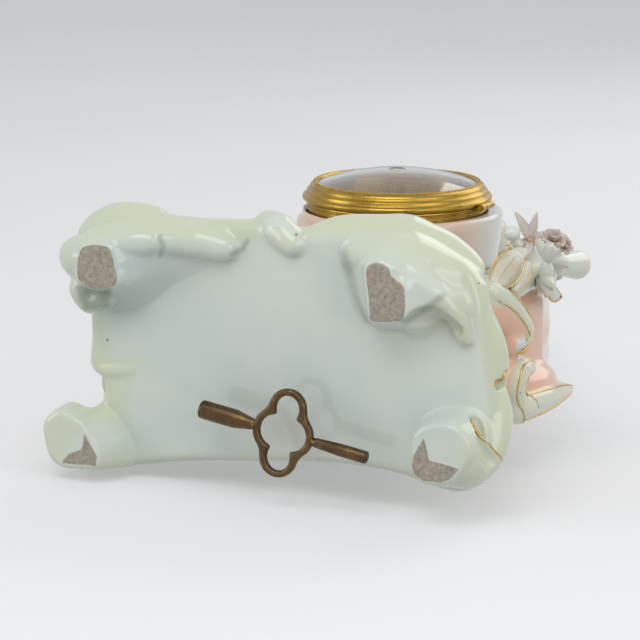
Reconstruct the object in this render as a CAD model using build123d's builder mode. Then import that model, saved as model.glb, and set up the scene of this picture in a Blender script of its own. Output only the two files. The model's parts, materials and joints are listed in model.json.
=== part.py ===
"""Porcelain mantel clock with a seated child figure, a drum movement and a loose key.

Millimetres. +Z is up, the dial faces -Y, +X is on the right of someone who reads the dial.
The origin lies on the table under the middle of the clock.
"""
import math
import os

from build123d import *

os.makedirs("parts", exist_ok=True)

# Base and feet
UNDERSIDE_Z = 17.0
BASE_THICKNESS = 22.0
BASE_TOP_Z = UNDERSIDE_Z + BASE_THICKNESS
BASE_LOWER_ROUND = 8.0
BASE_UPPER_ROUND = 7.0
DISH_SHARE = 0.84
DISH_DEPTH = 4.0
BASE_HALF_OUTLINE = (
    (26, -57), (62, -61), (90, -55), (100, -38), (95, 0),
    (101, 22), (115, 42), (107, 60), (84, 65), (45, 53),
)
BASE_FRONT_Y = -60.0
BASE_REAR_Y = 51.0
FEET = {
    "front_left_foot": (-74, -38, 19, 25, 12),
    "front_right_foot": (71, -36, 19, 27, -12),
    "rear_left_foot": (-95, 45, 24, 29, 40),
    "rear_right_foot": (98, 39, 24, 29, -40),
}
FOOT_CORNER = 9.2
FOOT_FLARE = 1.22

# Pedestal
PEDESTAL_SECTIONS = (
    (BASE_TOP_Z, 96, -34, 42, 16),
    (62, 87, -24, 38, 14),
    (105, 84, -18, 37, 12),
    (142, 91, -18, 38, 12),
    (166, 84, -15, 36, 12),
    (184, 58, -10, 33, 12),
)
WELL_HALF_WIDTH = 27.0
WELL_FRONT_Y = 3.5
WELL_REAR_Y = 29.0
WELL_FLOOR_Z = 76.0

# Drum
DIAL_Z = 168.0
DRUM_RADIUS = 50.0
BORE_RADIUS = 42.0
DRUM_FRONT_Y = -38.0
DRUM_REAR_Y = 41.0
DRUM_EDGE_ROUND = 2.0

# Bezel, glass and dial
RING_RADIUS = 44.5
RING_FRONT_Y = -47.0
RING_SLEEVE_RADIUS = 41.7
RING_FLANGE_RADIUS = 35.2
RING_FLANGE_Y = -34.0
DIAL_RADIUS = 40.8
DIAL_THICKNESS = 1.0
DIAL_BACK_Y = -40.4
DIAL_FRONT_Y = DIAL_BACK_Y - DIAL_THICKNESS
BEZEL_RADIUS = 46.0
BEZEL_BACK_Y = RING_FRONT_Y - 0.2
BEZEL_FRONT_Y = -52.2
BEZEL_LIP_RADIUS = 39.5
GLASS_RADIUS = 40.8
GLASS_DOME_RADIUS = 39.1
GLASS_THICKNESS = 1.6
GLASS_SEAT_Y = -51.2
GLASS_RISE = 6.0
FRONT_HINGE_X = 48.0
HINGE_RADIUS = 1.7
HINGE_PIN_RADIUS = 0.8
HINGE_HALF_LENGTH = 7.0
HINGE_KNUCKLE_HALF = 2.6

# Fits
RUNNING = 0.05
TURNING_GAP = 0.3

# Movement plates
PLATE_RADIUS = 39.0
PLATE_THICKNESS = 2.0
FRONT_PLATE_Y = -28.0
BACK_PLATE_Y = 2.0
PILLAR_PLACE = 23.3
PILLAR_RADIUS = 2.5
POST_PLACE = 37.2
POST_RADIUS = 1.5
PIVOT_RADIUS = 0.6
ARBOR_RADIUS = 1.0

# Train, places given from the dial centre as (x, z)
CENTRE = (0.0, 0.0)
BARREL = (0.0, -19.0)
BARREL_TEETH, BARREL_MODULE = 48, 0.6
SECOND_LEAVES, SECOND_TEETH = 8, 40
TRAIN_MODULE = 0.5
CENTRE_LEAVES, CENTRE_TEETH = 8, 40
THIRD_LEAVES, THIRD_TEETH, THIRD_MODULE = 8, 48, 0.4
ESCAPE_LEAVES, ESCAPE_TEETH, ESCAPE_RADIUS = 8, 30, 8.0
THIRD_BEARING = 130.0
SWING_LIMIT = 4.0
ANCHOR_RISE = 10.5
CANNON_LEAVES, MINUTE_TEETH, MOTION_MODULE = 10, 30, 0.5
MINUTE_LEAVES, HOUR_TEETH, HOUR_MODULE = 10, 40, 0.4
MINUTE_BEARING = 40.0
WINDING_SQUARE = 4.0
SQUARE_END_Y = -42.2
RATCHET_TEETH, RATCHET_RADIUS = 24, 7.2
REGULATOR = (0.0, 33.0)
REGULATOR_SQUARE = 1.7

# Pendulum
PENDULUM_Y = 12.0
BOB_RADIUS = 11.0
BOB_THICKNESS = 8.0
BOB_DROP = 66.0
ROD_WIDTH = 2.4

# Back of the movement
REAR_RING_RADIUS = 47.5
REAR_OPENING_RADIUS = 36.5
REAR_RING_Y = 45.5
DOOR_RADIUS = 46.5
DOOR_GAP = 0.3
REAR_HINGE_X = 49.5
STRAP_X = 40.0
STRAP_WIDTH = 8.0
STRAP_THICKNESS = 1.2
STRAP_SCREW_X = 37.6

# Key
KEY_CENTRE = (18.7, 33.5)
KEY_TURN = 9.2
KEY_LENGTH = 84.0
KEY_BOW_LENGTH = 41.0
KEY_BOW_WIDTH = 30.0
KEY_BOW_THICKNESS = 5.0
KEY_BOW_BAR = 4.2
WINDING_PIPE_RADIUS = 4.4
REGULATOR_PIPE_RADIUS = 2.9
KEY_AXIS_Z = WINDING_PIPE_RADIUS


def face_plane(x, y, z):
    """Plane that faces the front: sketch x is X and sketch y is Z."""
    return Plane(origin=(x, y, z), x_dir=(1, 0, 0), z_dir=(0, -1, 0))


def at_dial(place, y):
    """Front-facing plane at a place given from the dial centre."""
    return face_plane(place[0], y, DIAL_Z + place[1])


def polar(place, radius, degrees):
    """Place at a distance and bearing from another place."""
    angle = math.radians(degrees)
    return (place[0] + radius * math.cos(angle), place[1] + radius * math.sin(angle))


def bearing(first, second):
    """Bearing in degrees from one place to another."""
    return math.degrees(math.atan2(second[1] - first[1], second[0] - first[0]))


def meet(first, first_radius, second, second_radius, side):
    """Place at the given distances from two places, right of the line for side +1."""
    gap = math.dist(first, second)
    along = (first_radius**2 - second_radius**2 + gap**2) / (2 * gap)
    across = math.sqrt(first_radius**2 - along**2) * side
    ux, uz = (second[0] - first[0]) / gap, (second[1] - first[1]) / gap
    return (first[0] + along * ux - across * uz, first[1] + along * uz + across * ux)


def tooth_points(teeth, module, phase, tip=0.8, root=1.2):
    """Corners of a toothed disc; one tooth is centred on the phase angle."""
    pitch_radius = teeth * module / 2
    step = 360 / teeth
    points = []
    for index in range(teeth):
        centre = phase + index * step
        for share, radius in (
            (-0.28, pitch_radius - root * module),
            (-0.19, pitch_radius),
            (-0.08, pitch_radius + tip * module),
            (0.08, pitch_radius + tip * module),
            (0.19, pitch_radius),
            (0.28, pitch_radius - root * module),
        ):
            points.append(polar((0, 0), radius, centre + share * step))
    return points


def meshed_phase(driver_teeth, driver_phase, driven_teeth, line):
    """Phase of a driven gear that puts its gap on the driver's tooth."""
    return line + 180 + 180 / driven_teeth - (driver_phase - line) * driver_teeth / driven_teeth


def saw_points(teeth, tip_radius, depth, lean):
    """Corners of a ratchet or escape wheel with leaning teeth."""
    step = 360 / teeth
    points = []
    for index in range(teeth):
        points.append(polar((0, 0), tip_radius - depth, index * step))
        points.append(polar((0, 0), tip_radius, index * step + lean * step))
        points.append(polar((0, 0), tip_radius, index * step + (lean + 0.12) * step))
    return points


def spokes(outer, hub, count, width):
    """Cross a solid wheel out to a rim, a hub and spokes."""
    Circle(outer, mode=Mode.SUBTRACT)
    with PolarLocations(0, count):
        Rectangle(outer + 0.4, width, align=(Align.MIN, Align.CENTER))
    Circle(hub)


def roll(start, end, r_start, r_end, mode=Mode.ADD):
    """Tapered roll with round ends, added to the part that is open."""
    start, end = Vector(*start), Vector(*end)
    along = end - start
    length = along.length
    lean = math.asin((r_start - r_end) / length)
    across = Plane(origin=start, z_dir=along.normalized())
    profile = Plane(origin=start, x_dir=across.x_dir, z_dir=across.y_dir * -1)
    first = (r_start * math.cos(lean), r_start * math.sin(lean))
    last = (r_end * math.cos(lean), length + r_end * math.sin(lean))
    low = (lean - math.pi / 2) / 2
    high = (lean + math.pi / 2) / 2
    with BuildSketch(profile) as shape:
        with BuildLine():
            ThreePointArc((0, -r_start), (r_start * math.cos(low), r_start * math.sin(low)), first)
            Line(first, last)
            ThreePointArc(last, (r_end * math.cos(high), length + r_end * math.sin(high)), (0, length + r_end))
            Line((0, length + r_end), (0, -r_start))
        make_face()
    revolve(shape.sketch, axis=Axis(start, along), mode=mode)


def chain(points, radii, mirror_x=False):
    """Rolls from point to point; the other side of the clock gets the mirror image."""
    sides = (1, -1) if mirror_x else (1,)
    for side in sides:
        for index in range(len(points) - 1):
            start, end = points[index], points[index + 1]
            roll(
                (side * start[0], start[1], start[2]),
                (side * end[0], end[1], end[2]),
                radii[index],
                radii[index + 1],
            )


def turned(points, mode=Mode.ADD):
    """Solid of revolution round the dial axis from (radius, y) corners."""
    with BuildSketch(Plane.XY.offset(DIAL_Z)) as shape:
        with BuildLine():
            Polyline(*points, close=True)
        make_face()
    revolve(shape.sketch, axis=Axis((0, 0, DIAL_Z), (0, 1, 0)), mode=mode)


def rod(place, front_y, rear_y, radius, mode=Mode.ADD):
    """Round bar along the depth of the clock at a place given from the dial centre."""
    with BuildSketch(at_dial(place, rear_y)) as shape:
        Circle(radius)
    extrude(shape.sketch, amount=rear_y - front_y, mode=mode)


def bar(place, front_y, rear_y, width, height, turn=0, mode=Mode.ADD):
    """Rectangular bar along the depth of the clock at a place given from the dial centre."""
    with BuildSketch(at_dial(place, rear_y)) as shape:
        Rectangle(width, height, rotation=turn)
    extrude(shape.sketch, amount=rear_y - front_y, mode=mode)


def toothed(place, front_y, rear_y, points):
    """Toothed disc at a place given from the dial centre."""
    with BuildSketch(at_dial(place, rear_y)) as shape:
        with BuildLine():
            Polyline(*points, close=True)
        make_face()
    extrude(shape.sketch, amount=rear_y - front_y)


def block(x0, x1, y0, y1, z0, z1, mode=Mode.ADD):
    """Box between two corners."""
    with BuildSketch(Plane.XY.offset(z0)) as shape:
        with Locations(((x0 + x1) / 2, (y0 + y1) / 2)):
            Rectangle(x1 - x0, y1 - y0)
    extrude(shape.sketch, amount=z1 - z0, mode=mode)


def upright(x, y, z0, z1, radius, mode=Mode.ADD):
    """Upright round bar."""
    with BuildSketch(Plane.XY.offset(z0)) as shape:
        with Locations((x, y)):
            Circle(radius)
    extrude(shape.sketch, amount=z1 - z0, mode=mode)


def keep(builder, name):
    """Label a finished piece and write its file."""
    builder.part.label = name
    export_step(builder.part, f"parts/{name}.step")


# Base: a rolled rim on a dished plate, with knees, flanges and scrolls
left_half = [(-x, y) for x, y in reversed(BASE_HALF_OUTLINE)]
outline = [(0, BASE_FRONT_Y), *BASE_HALF_OUTLINE, (0, BASE_REAR_Y), *left_half]

with BuildPart() as base:
    with BuildSketch(Plane.XY.offset(UNDERSIDE_Z)):
        with BuildLine():
            Spline(*outline, periodic=True)
        make_face()
    extrude(amount=BASE_THICKNESS)
    fillet(base.edges().group_by(Axis.Z)[0], BASE_LOWER_ROUND)
    fillet(base.edges().group_by(Axis.Z)[-1], BASE_UPPER_ROUND)
    for share, z in ((DISH_SHARE, UNDERSIDE_Z), (DISH_SHARE - 0.12, UNDERSIDE_Z + DISH_DEPTH)):
        with BuildSketch(Plane.XY.offset(z)):
            with BuildLine():
                Spline(*[(x * share, y * share) for x, y in outline], periodic=True)
            make_face()
    loft(mode=Mode.SUBTRACT)
    # front knees over the front feet
    chain([(44, -53, 33), (68, -51, 41), (94, -46, 36)], [8, 17, 11], mirror_x=True)
    # side flanges that carry the rim round to the rear feet
    chain([(96, -40, 38), (103, -8, 39), (104, 26, 38), (102, 52, 33)], [8, 7, 7, 9], mirror_x=True)
    # scroll tongue between the front feet and the leaf tip in the middle
    chain([(-74, -38, 20), (-42, -41, 18), (-10, -37, 21)], [9, 7, 5])
    chain([(71, -36, 20), (44, -40, 19), (26, -38, 22)], [9, 6, 4])
    chain([(0, -48, 30), (2, -58, 36)], [8, 5])
keep(base, "base")

for name, (x, y, across, deep, turn) in FEET.items():
    with BuildPart() as foot:
        with BuildSketch(Plane.XY):
            with Locations((x, y)):
                RectangleRounded(across, deep, FOOT_CORNER, rotation=turn)
        with BuildSketch(Plane.XY.offset(UNDERSIDE_Z)):
            with Locations((x * 0.97, y * 0.98)):
                RectangleRounded(across * FOOT_FLARE, deep * FOOT_FLARE, FOOT_CORNER * FOOT_FLARE, rotation=turn)
        loft()
    with BuildPart() as foot_cut:
        add(foot.part)
        add(base.part, mode=Mode.SUBTRACT)
    keep(foot_cut, name)

# Pedestal with its two shoulders, hollowed for the drum and the pendulum
with BuildPart() as pedestal:
    for z, half, y0, y1, corner in PEDESTAL_SECTIONS:
        with BuildSketch(Plane.XY.offset(z)):
            with Locations((0, (y0 + y1) / 2)):
                RectangleRounded(2 * half, y1 - y0, corner)
    loft()
    # S scrolls and the flared leaf on each side panel
    chain([(88, -18, 58), (91, -17, 96), (96, -8, 128), (97, 8, 142)], [7, 5, 5, 6], mirror_x=True)
    chain([(90, 36, 62), (91, 33, 100), (97, 36, 136), (101, 44, 160)], [7, 5, 5, 2], mirror_x=True)
    # shoulders
    chain([(50, 8, 172), (76, 8, 160), (88, 9, 146)], [10, 11, 9], mirror_x=True)
    # scrolls on the front, from the drum down to the knees
    chain([(54, -24, 124), (68, -25, 98), (62, -34, 66), (66, -42, 46)], [7, 8, 8, 7], mirror_x=True)
    block(-140, 140, -100, 100, 0, BASE_TOP_Z, mode=Mode.SUBTRACT)
    add(base.part, mode=Mode.SUBTRACT)
    rod((0, 0), -100, 100, DRUM_RADIUS, mode=Mode.SUBTRACT)
    with BuildSketch(Plane.XY.offset(WELL_FLOOR_Z)):
        with Locations((0, (WELL_FRONT_Y + WELL_REAR_Y) / 2)):
            RectangleRounded(2 * WELL_HALF_WIDTH, WELL_REAR_Y - WELL_FRONT_Y, 6)
    extrude(amount=DIAL_Z - WELL_FLOOR_Z, mode=Mode.SUBTRACT)
keep(pedestal, "pedestal")

with BuildPart() as drum:
    turned([
        (BORE_RADIUS, DRUM_FRONT_Y), (DRUM_RADIUS, DRUM_FRONT_Y),
        (DRUM_RADIUS, DRUM_REAR_Y), (BORE_RADIUS, DRUM_REAR_Y),
    ])
    outer = drum.edges().filter_by(GeomType.CIRCLE).group_by(lambda edge: round(edge.radius, 3))[-1]
    fillet(outer, DRUM_EDGE_ROUND)
    with BuildSketch(Plane.XY.offset(DIAL_Z - DRUM_RADIUS - 1)):
        with Locations((0, (WELL_FRONT_Y + WELL_REAR_Y) / 2)):
            RectangleRounded(2 * WELL_HALF_WIDTH, WELL_REAR_Y - WELL_FRONT_Y, 6)
    extrude(amount=DRUM_RADIUS, mode=Mode.SUBTRACT)
keep(drum, "drum")

# Cloud seat on the drum
with BuildPart() as seat:
    chain([(-26, 16, 214), (-8, 18, 222), (14, 16, 221), (28, 14, 212)], [13, 18, 17, 12])
    chain([(-14, 0, 218), (14, -2, 217)], [11, 10])
    chain([(-16, 30, 214), (18, 29, 214)], [11, 11])
    rod((0, 0), -100, 100, DRUM_RADIUS, mode=Mode.SUBTRACT)
keep(seat, "seat")

# Seated child
with BuildPart() as figure:
    roll((-2, 12, 252), (-4, 13, 277), 16.5, 13.5)
    roll((-4, 13, 282), (-6, 11, 296), 7.0, 6.5)
    roll((-7, 9.5, 306), (-7, 10, 310), 15.0, 16.0)
    chain([(-10, 8, 248), (-20, -17, 250), (-17, -23, 228)], [11.5, 9.0, 5.5])
    chain([(7, 8, 248), (17, -15, 251), (13, -22, 229)], [11.5, 9.0, 5.5])
    roll((-17, -23, 224), (-19, -33, 222.5), 5.2, 4.0)
    roll((13, -22, 225), (15, -32, 223.5), 5.2, 4.0)
    chain([(-15, 14, 283), (-27, 6, 266), (-17, -9, 259)], [6.6, 5.4, 4.2])
    chain([(7, 14, 283), (21, 6, 269), (10, -8, 275)], [6.6, 5.4, 4.2])
    chain([(-9, 24, 280), (-22, 31, 292), (-29, 34, 286)], [4.5, 6.5, 3.0])
    chain([(3, 24, 280), (15, 31, 292), (22, 34, 286)], [4.5, 6.5, 3.0])
    add(seat.part, mode=Mode.SUBTRACT)
    rod((0, 0), -100, 100, DRUM_RADIUS, mode=Mode.SUBTRACT)
keep(figure, "figure")


def blossom(place, facing, size, petals):
    """Flower of round petals set like a shallow cup round a domed centre."""
    plane = Plane(origin=place, z_dir=facing)
    for index in range(petals):
        turn = math.radians(360 * index / petals)
        out = plane.x_dir * math.cos(turn) + plane.y_dir * math.sin(turn)
        root = plane.origin + out * (size * 0.28)
        tip = plane.origin + out * (size * 0.72) + plane.z_dir * (size * 0.28)
        roll(tuple(root), tuple(tip), size * 0.22, size * 0.34)
    centre = plane.origin + plane.z_dir * (size * 0.25)
    with Locations(tuple(centre)):
        Sphere(size * 0.3)


with BuildPart() as flowers_right:
    blossom((83, -33, 118), (0.45, -0.85, -0.2), 15, 5)
    blossom((95, -22, 142), (0.85, -0.5, 0.1), 16, 5)
    blossom((76, -30, 146), (0.2, -0.9, 0.3), 13, 5)
    chain([(80, -22, 124), (88, -20, 136), (77, -22, 146)], [11, 10, 8])
    add(pedestal.part, mode=Mode.SUBTRACT)
    rod((0, 0), -100, 100, DRUM_RADIUS + TURNING_GAP, mode=Mode.SUBTRACT)
keep(flowers_right, "flowers_right")

with BuildPart() as flowers_left:
    blossom((-83, -30, 114), (-0.45, -0.85, -0.2), 14, 5)
    blossom((-94, -19, 136), (-0.85, -0.5, 0.1), 15, 5)
    blossom((-75, -28, 142), (-0.2, -0.9, 0.3), 13, 5)
    chain([(-80, -20, 120), (-88, -18, 131), (-77, -20, 142)], [11, 10, 8])
    add(pedestal.part, mode=Mode.SUBTRACT)
    rod((0, 0), -100, 100, DRUM_RADIUS + TURNING_GAP, mode=Mode.SUBTRACT)
keep(flowers_left, "flowers_left")

# Fixed bezel ring with two hinge knuckles
with BuildPart() as bezel_ring:
    turned([
        (41.0, RING_FRONT_Y), (RING_RADIUS, RING_FRONT_Y), (RING_RADIUS, DRUM_FRONT_Y),
        (RING_SLEEVE_RADIUS, DRUM_FRONT_Y), (RING_SLEEVE_RADIUS, RING_FLANGE_Y),
        (RING_FLANGE_RADIUS, RING_FLANGE_Y), (RING_FLANGE_RADIUS, RING_FLANGE_Y - 2),
        (38.5, RING_FLANGE_Y - 2), (38.5, DIAL_BACK_Y), (41.0, DIAL_BACK_Y),
    ])
    for z0, z1 in (
        (HINGE_KNUCKLE_HALF + TURNING_GAP, HINGE_HALF_LENGTH),
        (-HINGE_HALF_LENGTH, -HINGE_KNUCKLE_HALF - TURNING_GAP),
    ):
        block(43.0, FRONT_HINGE_X, RING_FRONT_Y + 0.2, RING_FRONT_Y + 1.7, DIAL_Z + z0, DIAL_Z + z1)
        upright(FRONT_HINGE_X, RING_FRONT_Y, DIAL_Z + z0, DIAL_Z + z1, HINGE_RADIUS)
        upright(FRONT_HINGE_X, RING_FRONT_Y, DIAL_Z + z0, DIAL_Z + z1, HINGE_PIN_RADIUS, mode=Mode.SUBTRACT)
keep(bezel_ring, "bezel_ring")

with BuildPart() as bezel:
    turned([
        (41.1, BEZEL_BACK_Y), (BEZEL_RADIUS, BEZEL_BACK_Y), (BEZEL_RADIUS, BEZEL_BACK_Y - 1.4),
        (45.0, BEZEL_BACK_Y - 2.2), (44.2, BEZEL_BACK_Y - 2.4), (43.4, BEZEL_FRONT_Y + 0.5),
        (42.2, BEZEL_FRONT_Y), (40.4, BEZEL_FRONT_Y), (BEZEL_LIP_RADIUS, BEZEL_FRONT_Y + 0.5),
        (BEZEL_LIP_RADIUS, GLASS_SEAT_Y), (41.1, GLASS_SEAT_Y),
    ])
    block(44.5, FRONT_HINGE_X, BEZEL_BACK_Y - 1.4, BEZEL_BACK_Y - 0.1,
          DIAL_Z - HINGE_KNUCKLE_HALF, DIAL_Z + HINGE_KNUCKLE_HALF)
    upright(FRONT_HINGE_X, RING_FRONT_Y, DIAL_Z - HINGE_KNUCKLE_HALF, DIAL_Z + HINGE_KNUCKLE_HALF, HINGE_RADIUS)
    upright(FRONT_HINGE_X, RING_FRONT_Y, DIAL_Z - HINGE_KNUCKLE_HALF, DIAL_Z + HINGE_KNUCKLE_HALF,
            HINGE_PIN_RADIUS + RUNNING, mode=Mode.SUBTRACT)
    # thumb lip at nine o'clock
    roll((-45.6, -48.0, DIAL_Z - 3), (-45.6, -48.0, DIAL_Z + 3), 0.8, 0.8)
keep(bezel, "bezel")

with BuildPart() as bezel_hinge_pin:
    upright(FRONT_HINGE_X, RING_FRONT_Y, DIAL_Z - HINGE_HALF_LENGTH, DIAL_Z + HINGE_HALF_LENGTH, HINGE_PIN_RADIUS)
    for z in (DIAL_Z - HINGE_HALF_LENGTH - 0.8, DIAL_Z + HINGE_HALF_LENGTH):
        upright(FRONT_HINGE_X, RING_FRONT_Y, z, z + 0.8, 1.2)
keep(bezel_hinge_pin, "bezel_hinge_pin")

dome_sphere = (GLASS_DOME_RADIUS**2 + GLASS_RISE**2) / (2 * GLASS_RISE)
dome_half = math.asin(GLASS_DOME_RADIUS / dome_sphere) / 2
dome_mid = dome_sphere * math.sin(dome_half)
dome_drop = dome_sphere * (1 - math.cos(dome_half))
with BuildPart() as glass:
    rim_back = GLASS_SEAT_Y + GLASS_THICKNESS
    top = GLASS_SEAT_Y - GLASS_RISE
    under = rim_back - GLASS_RISE
    with BuildSketch(Plane.XY.offset(DIAL_Z)):
        with BuildLine():
            ThreePointArc((0, top), (dome_mid, top + dome_drop), (GLASS_DOME_RADIUS, GLASS_SEAT_Y))
            Polyline(
                (GLASS_DOME_RADIUS, GLASS_SEAT_Y), (GLASS_RADIUS, GLASS_SEAT_Y),
                (GLASS_RADIUS, rim_back), (GLASS_DOME_RADIUS, rim_back),
            )
            ThreePointArc((GLASS_DOME_RADIUS, rim_back), (dome_mid, under + dome_drop), (0, under))
            Line((0, under), (0, top))
        make_face()
    revolve(axis=Axis((0, 0, DIAL_Z), (0, 1, 0)))
keep(glass, "glass")

with BuildPart() as dial:
    rod((0, 0), DIAL_FRONT_Y, DIAL_BACK_Y, DIAL_RADIUS)
    rod((0, 0), -60, 0, 3.4, mode=Mode.SUBTRACT)
    rod(BARREL, -60, 0, 3.8, mode=Mode.SUBTRACT)
    rod(REGULATOR, -60, 0, 1.8, mode=Mode.SUBTRACT)
keep(dial, "dial")

with BuildPart() as dial_centre:
    rod((0, 0), DIAL_FRONT_Y - 0.4, DIAL_FRONT_Y, 14.5)
    rod((0, 0), -60, 0, 3.4, mode=Mode.SUBTRACT)
keep(dial_centre, "dial_centre")

# Hands: pierced loops on tapering arms
MINUTE_HAND_Y = -44.6
HOUR_HAND_Y = -42.8
HAND_THICKNESS = 0.6


def hand(y, length, loop_place, loop, width, hub, bore, turn):
    """Hand that lies along a bearing, with a pierced loop and a tapered point."""
    direction = Plane(origin=(0, y, DIAL_Z), x_dir=(math.cos(turn), 0, math.sin(turn)), z_dir=(0, -1, 0))
    with BuildSketch(direction) as shape:
        with BuildLine():
            Polyline((0, -width), (length, -0.25), (length, 0.25), (0, width), close=True)
        make_face()
        with Locations((loop_place, 0)):
            Ellipse(loop * 1.5, loop)
            Ellipse(loop * 0.9, loop * 0.55, mode=Mode.SUBTRACT)
        with Locations((loop_place * 0.52, 0)):
            Ellipse(loop, loop * 0.75)
            Ellipse(loop * 0.5, loop * 0.35, mode=Mode.SUBTRACT)
        Circle(hub)
        Circle(bore, mode=Mode.SUBTRACT)
    extrude(shape.sketch, amount=HAND_THICKNESS)


with BuildPart() as hour_hand:
    hand(HOUR_HAND_Y, 22.0, 13.5, 3.2, 1.3, 4.0, 2.6, math.radians(145))
keep(hour_hand, "hour_hand")

with BuildPart() as minute_hand:
    hand(MINUTE_HAND_Y, 33.0, 20.0, 2.8, 1.1, 3.4, 1.7, math.radians(30))
keep(minute_hand, "minute_hand")

with BuildPart() as hand_nut:
    rod(CENTRE, MINUTE_HAND_Y - 2.4, MINUTE_HAND_Y - HAND_THICKNESS, 2.2)
    chamfer(hand_nut.edges().group_by(Axis.Y)[0], 0.5)
    rod(CENTRE, -60, 0, ARBOR_RADIUS + RUNNING, mode=Mode.SUBTRACT)
keep(hand_nut, "hand_nut")

# Going train
SECOND = meet(
    CENTRE, (SECOND_TEETH + CENTRE_LEAVES) * TRAIN_MODULE / 2,
    BARREL, (BARREL_TEETH + SECOND_LEAVES) * BARREL_MODULE / 2, 1,
)
THIRD = polar(CENTRE, (CENTRE_TEETH + THIRD_LEAVES) * TRAIN_MODULE / 2, THIRD_BEARING)
escape_gap = (THIRD_TEETH + ESCAPE_LEAVES) * THIRD_MODULE / 2
ESCAPE = (0.0, THIRD[1] + math.sqrt(escape_gap**2 - THIRD[0]**2))
ANCHOR = (0.0, ESCAPE[1] + ANCHOR_RISE)
MINUTE = polar(CENTRE, (CANNON_LEAVES + MINUTE_TEETH) * MOTION_MODULE / 2, MINUTE_BEARING)
CLICK = (12.5, BARREL[1] + 1.0)

front_holes = (
    (CENTRE, 2.2), (BARREL, 3.0 + RUNNING), (SECOND, PIVOT_RADIUS + RUNNING), (THIRD, PIVOT_RADIUS + RUNNING),
    (ESCAPE, PIVOT_RADIUS + RUNNING), (ANCHOR, PIVOT_RADIUS + RUNNING), (REGULATOR, 1.2 + RUNNING),
    (MINUTE, 0.9), (CLICK, 0.9),
)
back_holes = (
    (CENTRE, PIVOT_RADIUS + RUNNING), (BARREL, 1.6 + RUNNING), (SECOND, PIVOT_RADIUS + RUNNING),
    (THIRD, PIVOT_RADIUS + RUNNING), (ESCAPE, PIVOT_RADIUS + RUNNING), (ANCHOR, 2.2), (REGULATOR, 1.2 + RUNNING),
)
pillar_places = [(sx * PILLAR_PLACE, sz * PILLAR_PLACE) for sx in (-1, 1) for sz in (-1, 1)]
post_places = [polar(CENTRE, POST_PLACE, degrees) for degrees in (45, 135, 225, 315)]

with BuildPart() as front_plate:
    rod(CENTRE, FRONT_PLATE_Y - PLATE_THICKNESS, FRONT_PLATE_Y, PLATE_RADIUS)
    for place, radius in front_holes:
        rod(place, -60, 20, radius, mode=Mode.SUBTRACT)
keep(front_plate, "front_plate")

with BuildPart() as back_plate:
    rod(CENTRE, BACK_PLATE_Y - PLATE_THICKNESS, BACK_PLATE_Y, PLATE_RADIUS)
    for place, radius in back_holes:
        rod(place, -60, 20, radius, mode=Mode.SUBTRACT)
    for place in pillar_places:
        rod(place, -60, 20, 1.05, mode=Mode.SUBTRACT)
keep(back_plate, "back_plate")

BACK_INNER_Y = BACK_PLATE_Y - PLATE_THICKNESS
FRONT_OUTER_Y = FRONT_PLATE_Y - PLATE_THICKNESS

with BuildPart() as plate_pillars:
    for place in pillar_places:
        rod(place, FRONT_PLATE_Y, BACK_INNER_Y, PILLAR_RADIUS)
        rod(place, -6, BACK_INNER_Y, 1.05, mode=Mode.SUBTRACT)
keep(plate_pillars, "plate_pillars")

with BuildPart() as plate_screws:
    for place in pillar_places:
        rod(place, -5, BACK_PLATE_Y, 1.0)
        rod(place, BACK_PLATE_Y, BACK_PLATE_Y + 1.2, 2.2)
        bar(place, BACK_PLATE_Y + 0.7, BACK_PLATE_Y + 1.3, 5, 0.5, turn=35, mode=Mode.SUBTRACT)
keep(plate_screws, "plate_screws")

with BuildPart() as movement_posts:
    for place in post_places:
        rod(place, RING_FLANGE_Y, FRONT_OUTER_Y, POST_RADIUS)
keep(movement_posts, "movement_posts")

# Barrel and winding work
barrel_line = bearing(BARREL, SECOND)
second_pinion_phase = 0.0
barrel_phase = meshed_phase(SECOND_LEAVES, second_pinion_phase, BARREL_TEETH, barrel_line + 180)

with BuildPart() as barrel:
    toothed(BARREL, -13, -11, tooth_points(BARREL_TEETH, BARREL_MODULE, barrel_phase))
    rod(BARREL, -25, -13, 12.6)
    rod(BARREL, -25, -13, 11.8, mode=Mode.SUBTRACT)
    rod(BARREL, -60, 20, 2.0 + RUNNING, mode=Mode.SUBTRACT)
keep(barrel, "barrel")

with BuildPart() as barrel_cover:
    rod(BARREL, -26.2, -25, 12.6)
    rod(BARREL, -60, 20, 2.0 + RUNNING, mode=Mode.SUBTRACT)
keep(barrel_cover, "barrel_cover")

SPRING_INNER = 5.0
SPRING_STEP = 1.2
with BuildPart() as mainspring:
    with BuildSketch(at_dial(BARREL, -14.5)):
        with BuildLine():
            for index in range(10):
                radius = SPRING_INNER + index * SPRING_STEP / 2
                middle = SPRING_STEP / 4 if index % 2 else -SPRING_STEP / 4
                CenterArc((middle, 0), radius, 180 * (index % 2), 180)
        trace(line_width=0.45)
    extrude(amount=9.0)
keep(mainspring, "mainspring")

with BuildPart() as barrel_arbor:
    rod(BARREL, BACK_INNER_Y - 0.4, BACK_PLATE_Y + 0.4, 1.6)
    rod(BARREL, FRONT_PLATE_Y + 0.4, BACK_INNER_Y - 0.4, 2.0)
    rod(BARREL, -24.5, -14, 3.6)
    rod(BARREL, FRONT_OUTER_Y - 0.3, FRONT_PLATE_Y + 0.4, 3.0)
    bar(BARREL, SQUARE_END_Y, FRONT_OUTER_Y - 0.3, WINDING_SQUARE, WINDING_SQUARE)
keep(barrel_arbor, "barrel_arbor")

with BuildPart() as ratchet_wheel:
    toothed(BARREL, FRONT_OUTER_Y - 2.0, FRONT_OUTER_Y - 0.6, saw_points(RATCHET_TEETH, RATCHET_RADIUS, 1.1, 0.85))
    bar(BARREL, -60, 20, WINDING_SQUARE, WINDING_SQUARE, mode=Mode.SUBTRACT)
keep(ratchet_wheel, "ratchet_wheel")

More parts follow.
